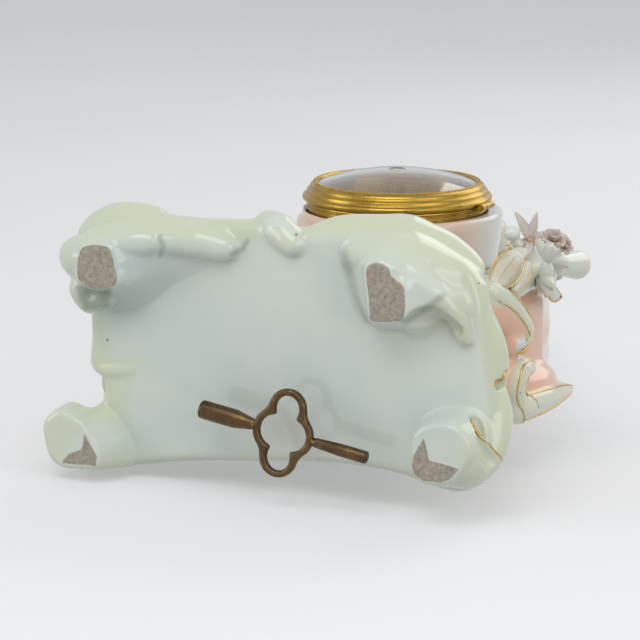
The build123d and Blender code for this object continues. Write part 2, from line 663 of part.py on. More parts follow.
click_tip = polar(BARREL, RATCHET_RADIUS + TURNING_GAP, 42)
click_dx, click_dz = click_tip[0] - CLICK[0], click_tip[1] - CLICK[1]
with BuildPart() as click:
    with BuildSketch(at_dial(CLICK, FRONT_OUTER_Y - 0.6)):
        with BuildLine():
            Polyline((0.6, 1.8), (click_dx, click_dz), (click_dx + 1.2, click_dz - 1.1), (-0.6, -1.6), close=True)
        make_face()
        Circle(2.0)
        Circle(0.9 + RUNNING, mode=Mode.SUBTRACT)
    extrude(amount=1.4)
keep(click, "click")

with BuildPart() as click_screw:
    rod(CLICK, FRONT_OUTER_Y - 2.3, FRONT_PLATE_Y, 0.9)
    rod(CLICK, FRONT_OUTER_Y - 3.2, FRONT_OUTER_Y - 2.3, 1.9)
    bar(CLICK, FRONT_OUTER_Y - 3.3, FRONT_OUTER_Y - 2.8, 5, 0.5, turn=20, mode=Mode.SUBTRACT)
keep(click_screw, "click_screw")


def crossed_wheel(place, front_y, rear_y, points, rim, hub):
    """Crossed-out wheel that is riveted on its arbor."""
    with BuildSketch(at_dial(place, rear_y)) as shape:
        with BuildLine():
            Polyline(*points, close=True)
        make_face()
        spokes(rim, hub, 5, 1.1)
        Circle(ARBOR_RADIUS, mode=Mode.SUBTRACT)
    extrude(shape.sketch, amount=rear_y - front_y)


def pivoted_arbor(place, front_end, rear_end):
    """Arbor between the plates with a thinner pivot at each end."""
    rod(place, FRONT_PLATE_Y + 0.3, BACK_INNER_Y - 0.3, ARBOR_RADIUS)
    rod(place, front_end, FRONT_PLATE_Y + 0.3, PIVOT_RADIUS)
    rod(place, BACK_INNER_Y - 0.3, rear_end, PIVOT_RADIUS)


second_line = bearing(SECOND, CENTRE)
centre_pinion_phase = 0.0
second_phase = meshed_phase(CENTRE_LEAVES, centre_pinion_phase, SECOND_TEETH, second_line + 180)
with BuildPart() as second_wheel:
    crossed_wheel(SECOND, -8.4, -7.2, tooth_points(SECOND_TEETH, TRAIN_MODULE, second_phase), 7.8, 3.0)
keep(second_wheel, "second_wheel")

with BuildPart() as second_arbor:
    pivoted_arbor(SECOND, FRONT_OUTER_Y + 0.2, BACK_PLATE_Y - 0.2)
    toothed(SECOND, -15, -9.4, tooth_points(SECOND_LEAVES, BARREL_MODULE, second_pinion_phase))
keep(second_arbor, "second_arbor")

with BuildPart() as centre_wheel:
    crossed_wheel(CENTRE, -3.8, -2.6, tooth_points(CENTRE_TEETH, TRAIN_MODULE, 0), 7.8, 3.0)
keep(centre_wheel, "centre_wheel")

with BuildPart() as centre_arbor:
    rod(CENTRE, -47.6, BACK_INNER_Y - 0.3, ARBOR_RADIUS)
    rod(CENTRE, BACK_INNER_Y - 0.3, BACK_PLATE_Y - 0.2, PIVOT_RADIUS)
    toothed(CENTRE, -10, -5.2, tooth_points(CENTRE_LEAVES, TRAIN_MODULE, centre_pinion_phase))
keep(centre_arbor, "centre_arbor")

third_line = bearing(CENTRE, THIRD)
third_pinion_phase = meshed_phase(CENTRE_TEETH, 0, THIRD_LEAVES, third_line)
escape_line = bearing(THIRD, ESCAPE)
escape_pinion_phase = meshed_phase(THIRD_TEETH, 0, ESCAPE_LEAVES, escape_line)
with BuildPart() as third_wheel:
    crossed_wheel(THIRD, -16.4, -15.4, tooth_points(THIRD_TEETH, THIRD_MODULE, 0), 7.7, 3.0)
keep(third_wheel, "third_wheel")

with BuildPart() as third_arbor:
    pivoted_arbor(THIRD, FRONT_OUTER_Y + 0.2, BACK_PLATE_Y - 0.2)
    toothed(THIRD, -5.4, -1.2, tooth_points(THIRD_LEAVES, TRAIN_MODULE, third_pinion_phase))
keep(third_arbor, "third_arbor")

with BuildPart() as escape_wheel:
    crossed_wheel(ESCAPE, -8.0, -7.2, saw_points(ESCAPE_TEETH, ESCAPE_RADIUS, 1.3, 0.7), 5.6, 2.6)
keep(escape_wheel, "escape_wheel")

with BuildPart() as escape_arbor:
    pivoted_arbor(ESCAPE, FRONT_OUTER_Y + 0.2, BACK_PLATE_Y - 0.2)
    toothed(ESCAPE, -18, -13.5, tooth_points(ESCAPE_LEAVES, THIRD_MODULE, escape_pinion_phase))
keep(escape_arbor, "escape_arbor")

# Anchor: the pallets stay clear of the escape teeth at both ends of the swing
PALLET_RADIUS = ESCAPE_RADIUS + 0.75
with BuildPart() as anchor:
    with BuildSketch(at_dial(ANCHOR, -7.0)):
        Circle(2.3)
        for side in (1, -1):
            inner = polar((0, -ANCHOR_RISE), PALLET_RADIUS, 90 - side * 35)
            outer = polar((0, -ANCHOR_RISE), PALLET_RADIUS + 1.6, 90 - side * 47)
            with BuildLine():
                Polyline((0, 1.6), outer, inner, (0, -1.6), close=True)
            make_face()
        Circle(ARBOR_RADIUS, mode=Mode.SUBTRACT)
    extrude(amount=1.2)
keep(anchor, "anchor")

BRIDGE_Y = 7.0
with BuildPart() as anchor_arbor:
    rod(ANCHOR, FRONT_PLATE_Y + 0.3, BRIDGE_Y - 0.4, ARBOR_RADIUS)
    rod(ANCHOR, FRONT_OUTER_Y + 0.2, FRONT_PLATE_Y + 0.3, PIVOT_RADIUS)
    rod(ANCHOR, BRIDGE_Y - 0.4, BRIDGE_Y + 1.3, PIVOT_RADIUS)
    # crutch with a pin that reaches into the slot of the rod
    bar((ANCHOR[0], ANCHOR[1] - 11.5), 4.2, 5.4, 1.6, 24)
    rod((ANCHOR[0], ANCHOR[1] - 22.0), 4.2, PENDULUM_Y + 1.6, 0.7)
keep(anchor_arbor, "anchor_arbor")

with BuildPart() as suspension_bridge:
    bar((0, ANCHOR[1] + 2.5), BRIDGE_Y, BRIDGE_Y + 1.5, 26, 10)
    for side in (-1, 1):
        bar((side * 11, ANCHOR[1] + 2.5), BACK_PLATE_Y, BRIDGE_Y, 4, 8)
    bar((0, ANCHOR[1] + 8.0), BRIDGE_Y, PENDULUM_Y + 2.5, 9, 4.0)
    rod(ANCHOR, 0, 30, PIVOT_RADIUS + RUNNING, mode=Mode.SUBTRACT)
    rod(REGULATOR, BACK_PLATE_Y, BRIDGE_Y + 3, 1.2 + RUNNING, mode=Mode.SUBTRACT)
keep(suspension_bridge, "suspension_bridge")

with BuildPart() as suspension_spring:
    bar((0, ANCHOR[1] + 2.7), PENDULUM_Y - 0.15, PENDULUM_Y + 0.15, 3.6, 6.6)
keep(suspension_spring, "suspension_spring")

with BuildPart() as regulator_arbor:
    rod(REGULATOR, -40.0, BRIDGE_Y + 2.5, 1.2)
    bar(REGULATOR, SQUARE_END_Y, -40.0, REGULATOR_SQUARE, REGULATOR_SQUARE)
keep(regulator_arbor, "regulator_arbor")

with BuildPart() as pendulum_rod:
    rod_low = ANCHOR[1] - BOB_DROP
    bar((0, (ANCHOR[1] - 0.8 + rod_low) / 2), PENDULUM_Y - 0.6, PENDULUM_Y + 0.6, ROD_WIDTH, BOB_DROP - 0.8)
    bar((0, ANCHOR[1] - 2.4), PENDULUM_Y - 1.2, PENDULUM_Y + 1.2, 5.0, 3.0)
    with BuildSketch(at_dial((0, ANCHOR[1] - 22.0), PENDULUM_Y + 1.0)):
        SlotOverall(9.0, 4.4, rotation=90)
    extrude(amount=2.0)
    with BuildSketch(at_dial((0, ANCHOR[1] - 22.0), 30)):
        SlotOverall(6.0, 1.6, rotation=90)
    extrude(amount=40.0, mode=Mode.SUBTRACT)
keep(pendulum_rod, "pendulum_rod")

bob_place = (0, ANCHOR[1] - BOB_DROP - 1.0)
with BuildPart() as pendulum_bob:
    rod(bob_place, PENDULUM_Y - BOB_THICKNESS / 2, PENDULUM_Y + BOB_THICKNESS / 2, BOB_RADIUS)
    fillet(pendulum_bob.edges().filter_by(GeomType.CIRCLE), 2.6)
    bar((0, bob_place[1] + 6), PENDULUM_Y - 0.6, PENDULUM_Y + 0.6, ROD_WIDTH, 10, mode=Mode.SUBTRACT)
    rod((0, bob_place[1] - BOB_RADIUS - 1), PENDULUM_Y - 2, PENDULUM_Y + 2, 2.4)
keep(pendulum_bob, "pendulum_bob")

# Motion work
motion_line = bearing(CENTRE, MINUTE)
minute_phase = meshed_phase(CANNON_LEAVES, 0, MINUTE_TEETH, motion_line)
hour_phase = meshed_phase(MINUTE_LEAVES, 0, HOUR_TEETH, motion_line + 180)
with BuildPart() as cannon_pinion:
    rod(CENTRE, MINUTE_HAND_Y - HAND_THICKNESS, -30.6, 1.7)
    toothed(CENTRE, -33.2, -31.4, tooth_points(CANNON_LEAVES, MOTION_MODULE, 0))
    rod(CENTRE, -60, 20, ARBOR_RADIUS + RUNNING, mode=Mode.SUBTRACT)
keep(cannon_pinion, "cannon_pinion")

with BuildPart() as minute_wheel:
    toothed(MINUTE, -33.0, -31.6, tooth_points(MINUTE_TEETH, MOTION_MODULE, minute_phase))
    toothed(MINUTE, -36.2, -33.0, tooth_points(MINUTE_LEAVES, HOUR_MODULE, 0))
    rod(MINUTE, -60, 20, 0.9 + RUNNING, mode=Mode.SUBTRACT)
keep(minute_wheel, "minute_wheel")

with BuildPart() as minute_post:
    rod(MINUTE, -36.6, FRONT_PLATE_Y, 0.9)
    rod(MINUTE, -37.2, -36.5, 1.6)
    rod(MINUTE, -31.3, FRONT_OUTER_Y, 1.8)
keep(minute_post, "minute_post")

with BuildPart() as hour_wheel:
    toothed(CENTRE, -35.6, -34.4, tooth_points(HOUR_TEETH, HOUR_MODULE, hour_phase))
    rod(CENTRE, HOUR_HAND_Y - HAND_THICKNESS, -34.4, 2.6)
    rod(CENTRE, -60, 20, 1.7 + RUNNING, mode=Mode.SUBTRACT)
keep(hour_wheel, "hour_wheel")

# Straps and back of the case
with BuildPart() as movement_straps:
    for side in (-1, 1):
        x0, x1 = sorted((side * (STRAP_X - STRAP_THICKNESS / 2), side * (STRAP_X + STRAP_THICKNESS / 2)))
        block(x0, x1, RING_FLANGE_Y, DRUM_REAR_Y, DIAL_Z - STRAP_WIDTH / 2, DIAL_Z + STRAP_WIDTH / 2)
        x0, x1 = sorted((side * 34.5, side * (STRAP_X - STRAP_THICKNESS / 2)))
        block(x0, x1, DRUM_REAR_Y - 2.0, DRUM_REAR_Y, DIAL_Z - STRAP_WIDTH / 2, DIAL_Z + STRAP_WIDTH / 2)
        rod((side * STRAP_SCREW_X, 0), 30, 60, 1.05, mode=Mode.SUBTRACT)
keep(movement_straps, "movement_straps")

with BuildPart() as rear_ring:
    turned([
        (REAR_OPENING_RADIUS - 1.5, DRUM_REAR_Y), (REAR_RING_RADIUS, DRUM_REAR_Y),
        (REAR_RING_RADIUS, REAR_RING_Y), (43.0, REAR_RING_Y), (43.0, DRUM_REAR_Y + 2.2),
        (REAR_OPENING_RADIUS - 1.5, DRUM_REAR_Y + 2.2),
    ])
    for side in (-1, 1):
        rod((side * STRAP_SCREW_X, 0), 30, 60, 1.05, mode=Mode.SUBTRACT)
    for z0, z1 in (
        (HINGE_KNUCKLE_HALF + TURNING_GAP, HINGE_HALF_LENGTH),
        (-HINGE_HALF_LENGTH, -HINGE_KNUCKLE_HALF - TURNING_GAP),
    ):
        block(46.5, REAR_HINGE_X, REAR_RING_Y - 1.7, REAR_RING_Y - 0.2, DIAL_Z + z0, DIAL_Z + z1)
        upright(REAR_HINGE_X, REAR_RING_Y, DIAL_Z + z0, DIAL_Z + z1, HINGE_RADIUS)
        upright(REAR_HINGE_X, REAR_RING_Y, DIAL_Z + z0, DIAL_Z + z1, HINGE_PIN_RADIUS, mode=Mode.SUBTRACT)
keep(rear_ring, "rear_ring")

with BuildPart() as strap_screws:
    for side in (-1, 1):
        rod((side * STRAP_SCREW_X, 0), DRUM_REAR_Y - 3.5, DRUM_REAR_Y + 2.2, 1.0)
        rod((side * STRAP_SCREW_X, 0), DRUM_REAR_Y + 2.2, DRUM_REAR_Y + 3.6, 2.3)
        bar((side * STRAP_SCREW_X, 0), DRUM_REAR_Y + 3.0, DRUM_REAR_Y + 3.7, 6, 0.5, turn=side * 25, mode=Mode.SUBTRACT)
keep(strap_screws, "strap_screws")

DOOR_Y = REAR_RING_Y + DOOR_GAP
with BuildPart() as rear_door:
    turned([
        (0, DOOR_Y + 3.2), (30, DOOR_Y + 2.6), (38, DOOR_Y + 0.4), (42.5, DOOR_Y), (DOOR_RADIUS, DOOR_Y),
        (DOOR_RADIUS, DOOR_Y + 1.3), (43, DOOR_Y + 1.6), (38.5, DOOR_Y + 1.8), (30.5, DOOR_Y + 3.9),
        (0, DOOR_Y + 4.6),
    ])
    block(45.0, REAR_HINGE_X, DOOR_Y + 0.1, DOOR_Y + 1.3,
          DIAL_Z - HINGE_KNUCKLE_HALF, DIAL_Z + HINGE_KNUCKLE_HALF)
    upright(REAR_HINGE_X, REAR_RING_Y, DIAL_Z - HINGE_KNUCKLE_HALF, DIAL_Z + HINGE_KNUCKLE_HALF, HINGE_RADIUS)
    upright(REAR_HINGE_X, REAR_RING_Y, DIAL_Z - HINGE_KNUCKLE_HALF, DIAL_Z + HINGE_KNUCKLE_HALF,
            HINGE_PIN_RADIUS + RUNNING, mode=Mode.SUBTRACT)
    # finger knob
    rod((-40.5, 0), DOOR_Y + 0.8, DOOR_Y + 5.0, 1.3)
    roll((-40.5, DOOR_Y + 5.6, DIAL_Z - 0.4), (-40.5, DOOR_Y + 5.6, DIAL_Z + 0.4), 2.0, 2.0)
keep(rear_door, "rear_door")

with BuildPart() as rear_door_pin:
    upright(REAR_HINGE_X, REAR_RING_Y, DIAL_Z - HINGE_HALF_LENGTH, DIAL_Z + HINGE_HALF_LENGTH, HINGE_PIN_RADIUS)
    for z in (DIAL_Z - HINGE_HALF_LENGTH - 0.8, DIAL_Z + HINGE_HALF_LENGTH):
        upright(REAR_HINGE_X, REAR_RING_Y, z, z + 0.8, 1.2)
keep(rear_door_pin, "rear_door_pin")

# Key: lies on the table under the base, pipes along its own x
key_x = Vector(1, 0, 0).rotate(Axis.Z, KEY_TURN)
key_place = Plane(origin=(KEY_CENTRE[0], KEY_CENTRE[1], KEY_AXIS_Z), x_dir=key_x, z_dir=(0, 0, 1))


def quatrefoil(grow):
    """Four lobes: two along the bow and two where the pipes join, as an outline grown by a distance."""
    with Locations((0, KEY_BOW_LENGTH * 0.27), (0, -KEY_BOW_LENGTH * 0.27)):
        Circle(KEY_BOW_LENGTH * 0.23 + grow)
    with Locations((KEY_BOW_WIDTH * 0.21, 0), (-KEY_BOW_WIDTH * 0.21, 0)):
        Circle(KEY_BOW_WIDTH * 0.29 + grow)


with BuildPart() as key_bow:
    with BuildSketch(key_place.offset(-KEY_BOW_THICKNESS / 2)):
        quatrefoil(0)
    extrude(amount=KEY_BOW_THICKNESS)
    rims = key_bow.edges().filter_by(GeomType.CIRCLE)
    chamfer(rims, 1.0)
    with BuildSketch(key_place.offset(-KEY_BOW_THICKNESS / 2)):
        quatrefoil(-KEY_BOW_BAR)
    extrude(amount=KEY_BOW_THICKNESS, mode=Mode.SUBTRACT)
keep(key_bow, "key_bow")

half_bow = KEY_BOW_WIDTH / 2
pipe_end = KEY_LENGTH / 2


def key_pipe(side, radius, collar, square):
    """Pipe turned about the key's long axis with collars at the bow and a square socket at its end."""
    profile = Plane(origin=key_place.origin, x_dir=key_x * side, z_dir=key_place.y_dir * -side)
    with BuildSketch(profile) as shape:
        with BuildLine():
            Polyline(
                (half_bow - 1.2, 0), (half_bow - 1.2, radius * 0.75), (half_bow + 1.0, radius * 0.75),
                (half_bow + 1.8, collar), (half_bow + 4.0, collar), (half_bow + 4.8, radius * 0.82),
                (half_bow + 7.0, radius * 0.82), (half_bow + 7.8, collar), (half_bow + 9.4, collar),
                (half_bow + 10.2, radius * 0.9), (pipe_end - 4.0, radius * 0.95), (pipe_end - 3.2, radius),
                (pipe_end, radius), (pipe_end, 0), close=True,
            )
        make_face()
    revolve(shape.sketch, axis=Axis(key_place.origin, key_x))
    socket = Plane(origin=key_place.origin + key_x * (side * pipe_end), x_dir=(0, 0, 1), z_dir=key_x * -side)
    with BuildSketch(socket) as shape:
        Rectangle(square, square)
    extrude(shape.sketch, amount=14.0, mode=Mode.SUBTRACT)


with BuildPart() as key_winding_pipe:
    key_pipe(-1, WINDING_PIPE_RADIUS, WINDING_PIPE_RADIUS, WINDING_SQUARE + 2 * RUNNING)
    add(key_bow.part, mode=Mode.SUBTRACT)
keep(key_winding_pipe, "key_winding_pipe")

with BuildPart() as key_regulator_pipe:
    key_pipe(1, REGULATOR_PIPE_RADIUS, REGULATOR_PIPE_RADIUS + 0.6, REGULATOR_SQUARE + 2 * RUNNING)
    add(key_bow.part, mode=Mode.SUBTRACT)
keep(key_regulator_pipe, "key_regulator_pipe")
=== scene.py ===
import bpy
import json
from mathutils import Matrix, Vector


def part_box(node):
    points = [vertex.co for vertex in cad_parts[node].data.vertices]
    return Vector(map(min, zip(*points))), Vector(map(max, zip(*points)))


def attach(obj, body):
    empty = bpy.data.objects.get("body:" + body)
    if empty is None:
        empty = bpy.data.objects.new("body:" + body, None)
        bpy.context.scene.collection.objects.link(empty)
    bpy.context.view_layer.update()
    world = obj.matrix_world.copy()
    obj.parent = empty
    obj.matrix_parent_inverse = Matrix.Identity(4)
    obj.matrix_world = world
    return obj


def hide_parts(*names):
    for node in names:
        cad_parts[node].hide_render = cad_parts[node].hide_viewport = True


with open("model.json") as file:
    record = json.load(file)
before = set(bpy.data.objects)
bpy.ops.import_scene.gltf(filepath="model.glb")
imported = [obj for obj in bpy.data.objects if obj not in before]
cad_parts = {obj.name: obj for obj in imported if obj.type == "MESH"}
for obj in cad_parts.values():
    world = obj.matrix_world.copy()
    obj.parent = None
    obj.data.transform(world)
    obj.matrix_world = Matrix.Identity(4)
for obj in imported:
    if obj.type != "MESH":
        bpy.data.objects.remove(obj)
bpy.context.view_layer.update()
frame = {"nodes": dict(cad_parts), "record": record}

import json
import math
from itertools import product

import bpy
import numpy as np
from mathutils import Matrix, Vector
from mathutils.bvhtree import BVHTree

MM = 0.001
FAR = 1e9
PICTURE = 640
SENSOR = 36.0
DIAL_Z = 168.0
nodes = frame["nodes"]
scene = bpy.context.scene


# Distance fields, in millimetres

class Field:
    """Sampled signed distance, negative inside, that shapes are melted into."""

    EMPTY = 12.0
    MARGIN_CELLS = 4

    def __init__(self, lo, hi, step):
        self.lo, self.step = np.array(lo, float), step
        counts = np.ceil((np.array(hi, float) - self.lo) / step).astype(int) + 1
        self.axes = [self.lo[i] + step * np.arange(counts[i]) for i in range(3)]
        self.f = np.full(counts, self.EMPTY, np.float32)

    def merge(self, lo, hi, shape, k=0.0, cut=False):
        """Add a shape that lies between lo and hi, or cut it away, with the edge rounded over k."""
        margin = k + self.MARGIN_CELLS * self.step
        where = []
        for i, axis in enumerate(self.axes):
            ends = (np.floor((lo[i] - margin - self.lo[i]) / self.step),
                    np.ceil((hi[i] + margin - self.lo[i]) / self.step) + 1)
            where.append(slice(*(int(min(max(e, 0), len(axis))) for e in ends)))
        where = tuple(where)
        a = self.f[where]
        if min(a.shape) == 0:
            return
        axes = [axis[w] for axis, w in zip(self.axes, where)]
        d = shape(*np.meshgrid(*axes, indexing="ij", sparse=True))
        self.f[where] = soft_max(a, -d, k) if cut else soft_min(a, d, k)

    def tube(self, points, radii, k=3.0, cut=False):
        for i in range(len(points) - 1):
            a, b = np.array(points[i], float), np.array(points[i + 1], float)
            r0, r1 = radii[i], radii[i + 1]
            r = max(r0, r1)
            self.merge(np.minimum(a, b) - r, np.maximum(a, b) + r,
                       lambda x, y, z: capsule(x, y, z, a, b, r0, r1), k, cut)

    def scroll(self, points, radii, k=3.0, cut=False):
        self.tube(*smooth_path(points, radii), k=k, cut=cut)

    def ball(self, centre, sizes, k=3.0, cut=False):
        c, s = np.array(centre, float), np.array(sizes, float)
        self.merge(c - s.max(), c + s.max(), lambda x, y, z: ellipsoid(x, y, z, c, s), k, cut)

    def sample(self, p):
        """Trilinear value at points."""
        g = (p - self.lo) / self.step
        i = np.clip(np.floor(g).astype(int), 0, np.array(self.f.shape) - 2)
        w = np.clip(g - i, 0, 1)
        total = 0
        for corner in product((0, 1), repeat=3):
            share = 1
            for axis in range(3):
                share = share * (w[:, axis] if corner[axis] else 1 - w[:, axis])
            total = total + share * self.f[tuple((i + corner).T)]
        return total


def soft_min(a, b, k):
    if k <= 0:
        return np.minimum(a, b)
    h = np.maximum(k - np.abs(a - b), 0) / k
    return np.minimum(a, b) - h * h * k * 0.25


def soft_max(a, b, k):
    return -soft_min(-a, -b, k)


def capsule(x, y, z, a, b, r0, r1):
    ab = b - a
    t = ((x - a[0]) * ab[0] + (y - a[1]) * ab[1] + (z - a[2]) * ab[2]) / max(ab @ ab, 1e-9)
    t = np.clip(t, 0, 1)
    dx, dy, dz = x - a[0] - t * ab[0], y - a[1] - t * ab[1], z - a[2] - t * ab[2]
    return np.sqrt(dx * dx + dy * dy + dz * dz) - (r0 + (r1 - r0) * t)


def ellipsoid(x, y, z, c, s):
    p = (x - c[0], y - c[1], z - c[2])
    q = np.sqrt(sum((a / r) ** 2 for a, r in zip(p, s)))
    g = np.sqrt(sum((a / r ** 2) ** 2 for a, r in zip(p, s)))
    return q * (q - 1) / np.maximum(g, 1e-6)


def catmull(a, b, c, d, t):
    """Point of a Catmull-Rom curve on its way from b to c."""
    return 0.5 * (2 * b + (c - a) * t + (2 * a - 5 * b + 4 * c - d) * t * t
                  + (3 * b - a - 3 * c + d) * t ** 3)


def smooth_path(points, radii=None, steps=6, thinnest=0.3):
    """Curve through the points, and its radii."""
    radii = [1] * len(points) if radii is None else radii
    q = np.column_stack([np.array(points, float), np.array(radii, float)])
    q = np.vstack([2 * q[0] - q[1], q, 2 * q[-1] - q[-2]])
    ways = np.arange(steps) / steps
    out = [catmull(*q[i - 1:i + 3], t) for i in range(1, len(q) - 2) for t in ways]
    out = np.array(out + [q[-2]])
    return [tuple(v) for v in out[:, :3]], [max(v, thinnest) for v in out[:, 3]]


def closed_path(points, steps=3):
    """Closed curve in the plane through the points."""
    p = np.array(points, float)
    n = len(p)
    return np.array([catmull(*(p[(i + j) % n] for j in (-1, 0, 1, 2)), t)
                     for i in range(n) for t in np.arange(steps) / steps])


def polygon_distance(poly, x, y):
    """Signed distance in the plane to a closed outline, negative inside."""
    poly = np.asarray(poly, float)
    x, y = np.broadcast_arrays(np.asarray(x, float), np.asarray(y, float))
    best = np.full(x.shape, 1e18)
    inside = np.zeros(x.shape, bool)
    for i in range(len(poly)):
        a, b = poly[i], poly[(i + 1) % len(poly)]
        e = b - a
        wx, wy = x - a[0], y - a[1]
        t = np.clip((wx * e[0] + wy * e[1]) / max(e @ e, 1e-12), 0, 1)
        best = np.minimum(best, (wx - t * e[0]) ** 2 + (wy - t * e[1]) ** 2)
        crosses = (a[1] > y) != (b[1] > y)
        if abs(e[1]) > 1e-12:
            inside ^= crosses & (x < a[0] + (y - a[1]) * e[0] / e[1])
    return np.where(inside, -1, 1) * np.sqrt(best)


def skin(field, relax=3):
    """Vertices and quads of the zero surface, relaxed and put back on it."""
    f, step = field.f, field.step
    unit = np.eye(3, dtype=int)
    inside = f < 0
    n = np.array(f.shape) - 1
    corners = sum(inside[x:n[0] + x, y:n[1] + y, z:n[2] + z].astype(np.int8)
                  for x, y, z in product((0, 1), repeat=3))
    cells = np.argwhere((corners > 0) & (corners < 8))
    number = np.full(corners.shape, -1, np.int64)
    number[tuple(cells.T)] = np.arange(len(cells))
    total, count = np.zeros((len(cells), 3)), np.zeros(len(cells))
    for axis in range(3):
        o1, o2 = [i for i in range(3) if i != axis]
        for u, v in product((0, 1), repeat=2):
            start = cells + u * unit[o1] + v * unit[o2]
            a, b = f[tuple(start.T)], f[tuple((start + unit[axis]).T)]
            hit = (a < 0) != (b < 0)
            way = a[hit] / (a[hit] - b[hit])
            total[hit] += start[hit] + way[:, None] * unit[axis]
            count[hit] += 1
    verts = field.lo + step * total / count[:, None]
    quads = []
    for axis in range(3):
        o1, o2 = (axis + 1) % 3, (axis + 2) % 3
        lo, hi = [slice(1, -1)] * 3, [slice(1, -1)] * 3
        lo[axis], hi[axis] = slice(0, -1), slice(1, None)
        a, b = inside[tuple(lo)], inside[tuple(hi)]
        for crossing, order in ((a & ~b, 1), (~a & b, -1)):
            e = np.argwhere(crossing) + unit[o1] + unit[o2]
            ring = [number[tuple((e - u * unit[o1] - v * unit[o2]).T)]
                    for u, v in ((0, 0), (1, 0), (1, 1), (0, 1))]
            quads.append(np.stack(ring, 1)[:, ::order])
    quads = np.concatenate(quads)
    quads = quads[(quads >= 0).all(1)]
    for _ in range(relax):
        around, met = np.zeros_like(verts), np.zeros(len(verts))
        for k in range(4):
            a, b = quads[:, k], quads[:, (k + 1) % 4]
            for here, there in ((a, b), (b, a)):
                np.add.at(around, here, verts[there])
                np.add.at(met, here, 1)
        mean = around / np.maximum(met, 1)[:, None]
        verts = np.where(met[:, None] > 0, 0.5 * verts + 0.5 * mean, verts)
        for _ in range(2):
            h = step * 0.5
            grad = np.stack([field.sample(verts + h * e) - field.sample(verts - h * e) for e in np.eye(3)], 1)
            grad = grad / (2 * h)
            move = np.clip(field.sample(verts) / np.maximum((grad ** 2).sum(1), 0.05), -step, step)
            verts = verts - grad * move[:, None]
    return verts, quads


def mesh_object(name, verts, faces, smooth=True):
    """Object from millimetre vertices and faces."""
    mesh = bpy.data.meshes.new(name)
    verts = np.asarray(verts, float) * MM
    if isinstance(faces, np.ndarray):
        mesh.vertices.add(len(verts))
        mesh.vertices.foreach_set("co", verts.astype(np.float32).ravel())
        mesh.loops.add(faces.size)
        mesh.loops.foreach_set("vertex_index", faces.astype(np.int32).ravel())
        mesh.polygons.add(len(faces))
        mesh.polygons.foreach_set("loop_start", np.arange(0, faces.size, faces.shape[1], dtype=np.int32))
    else:
        mesh.from_pydata([tuple(v) for v in verts], [], faces)
    mesh.update(calc_edges=True)
    mesh.validate()
    if smooth:
        mesh.polygons.foreach_set("use_smooth", np.ones(len(mesh.polygons), bool))
    obj = bpy.data.objects.new(name, mesh)
    scene.collection.objects.link(obj)
    return obj


def mark(obj, name, values):
    """Float value per vertex that a material reads."""
    layer = obj.data.attributes.new(name, "FLOAT", "POINT")
    layer.data.foreach_set("value", np.asarray(values, np.float32))


def chain_distance(p, line, sizes=None):
    """Distance of points from a chain of straight lines, less the chain's radius."""
    best = np.full(len(p), FAR)
    for i in range(len(line) - 1):
        a, b = np.array(line[i], float), np.array(line[i + 1], float)
        r0, r1 = (0, 0) if sizes is None else sizes[i:i + 2]
        best = np.minimum(best, capsule(p[:, 0], p[:, 1], p[:, 2], a, b, r0, r1))
    return best


def path_distance(p, points):
    """Distance of points from a smooth path."""
    return chain_distance(p, smooth_path(points)[0])


def fade(d, near, far):
    """One up to near, falling smoothly to nothing at far."""
    t = np.clip((d - near) / (far - near), 0, 1)
    return 1 - t * t * (3 - 2 * t)


def span_of(p, centre):
    return np.linalg.norm(p - np.array(centre, float), axis=1)


# The photograph's view, and colours laid on by its pixels

TARGET = np.array((10.0, -7.0, 60.0))
YAW, ELEV, DIST, SCALE = math.radians(26), math.radians(12), 1300.0, 2.15
FOCAL, MIDDLE = SCALE * DIST, PICTURE / 2
TO_EYE = np.array((math.cos(ELEV) * math.sin(YAW), -math.sin(ELEV), -math.cos(ELEV) * math.cos(YAW)))
RIGHT = np.array((math.cos(YAW), 0, math.sin(YAW)))
UP = np.cross(TO_EYE, RIGHT)
UP = UP if UP[1] < 0 else -UP
EYE = TARGET + TO_EYE * DIST


def pixels(p):
    """Where millimetre points fall in the picture."""
    d = np.asarray(p, float) - EYE
    depth = -d @ TO_EYE
    return MIDDLE + FOCAL * (d @ RIGHT) / depth, MIDDLE - FOCAL * (d @ UP) / depth


def sight(px, py):
    """Direction in which the camera sees a pixel."""
    d = -TO_EYE + RIGHT * (px - MIDDLE) / FOCAL - UP * (py - MIDDLE) / FOCAL
    return d / np.linalg.norm(d)


def at(px, py, z):
    """Point that the photograph shows at a pixel, at height z."""
    d = sight(px, py)
    return tuple(EYE + d * (z - EYE[2]) / d[2])


def vertex_normals(obj):
    n = np.empty(len(obj.data.vertices) * 3, np.float32)
    obj.data.vertices.foreach_get("normal", n)
    return n.reshape(-1, 3).astype(float)


class Paint:
    """Colour and weight per vertex, laid over the glaze."""

    def __init__(self, count):
        self.rgb = np.zeros((count, 3))
        self.a = np.zeros(count)

    def lay(self, weight, colour):
        w = np.broadcast_to(np.clip(weight, 0, 1), self.a.shape)
        a = w + self.a * (1 - w)
        old = (self.a * (1 - w))[:, None] * self.rgb
        self.rgb = (np.array(colour, float) * w[:, None] + old) / np.maximum(a, 1e-6)[:, None]
        self.a = a

    def put(self, obj):
        layer = obj.data.attributes.new("paint", "FLOAT_COLOR", "POINT")
        layer.data.foreach_set("color", np.column_stack([self.rgb, self.a]).astype(np.float32).ravel())


POOL_AND_SHADE_REACH, POOL_AND_SHADE_START, POOL_AND_SHADE_FADE = 3.2, 2.7, 2.2


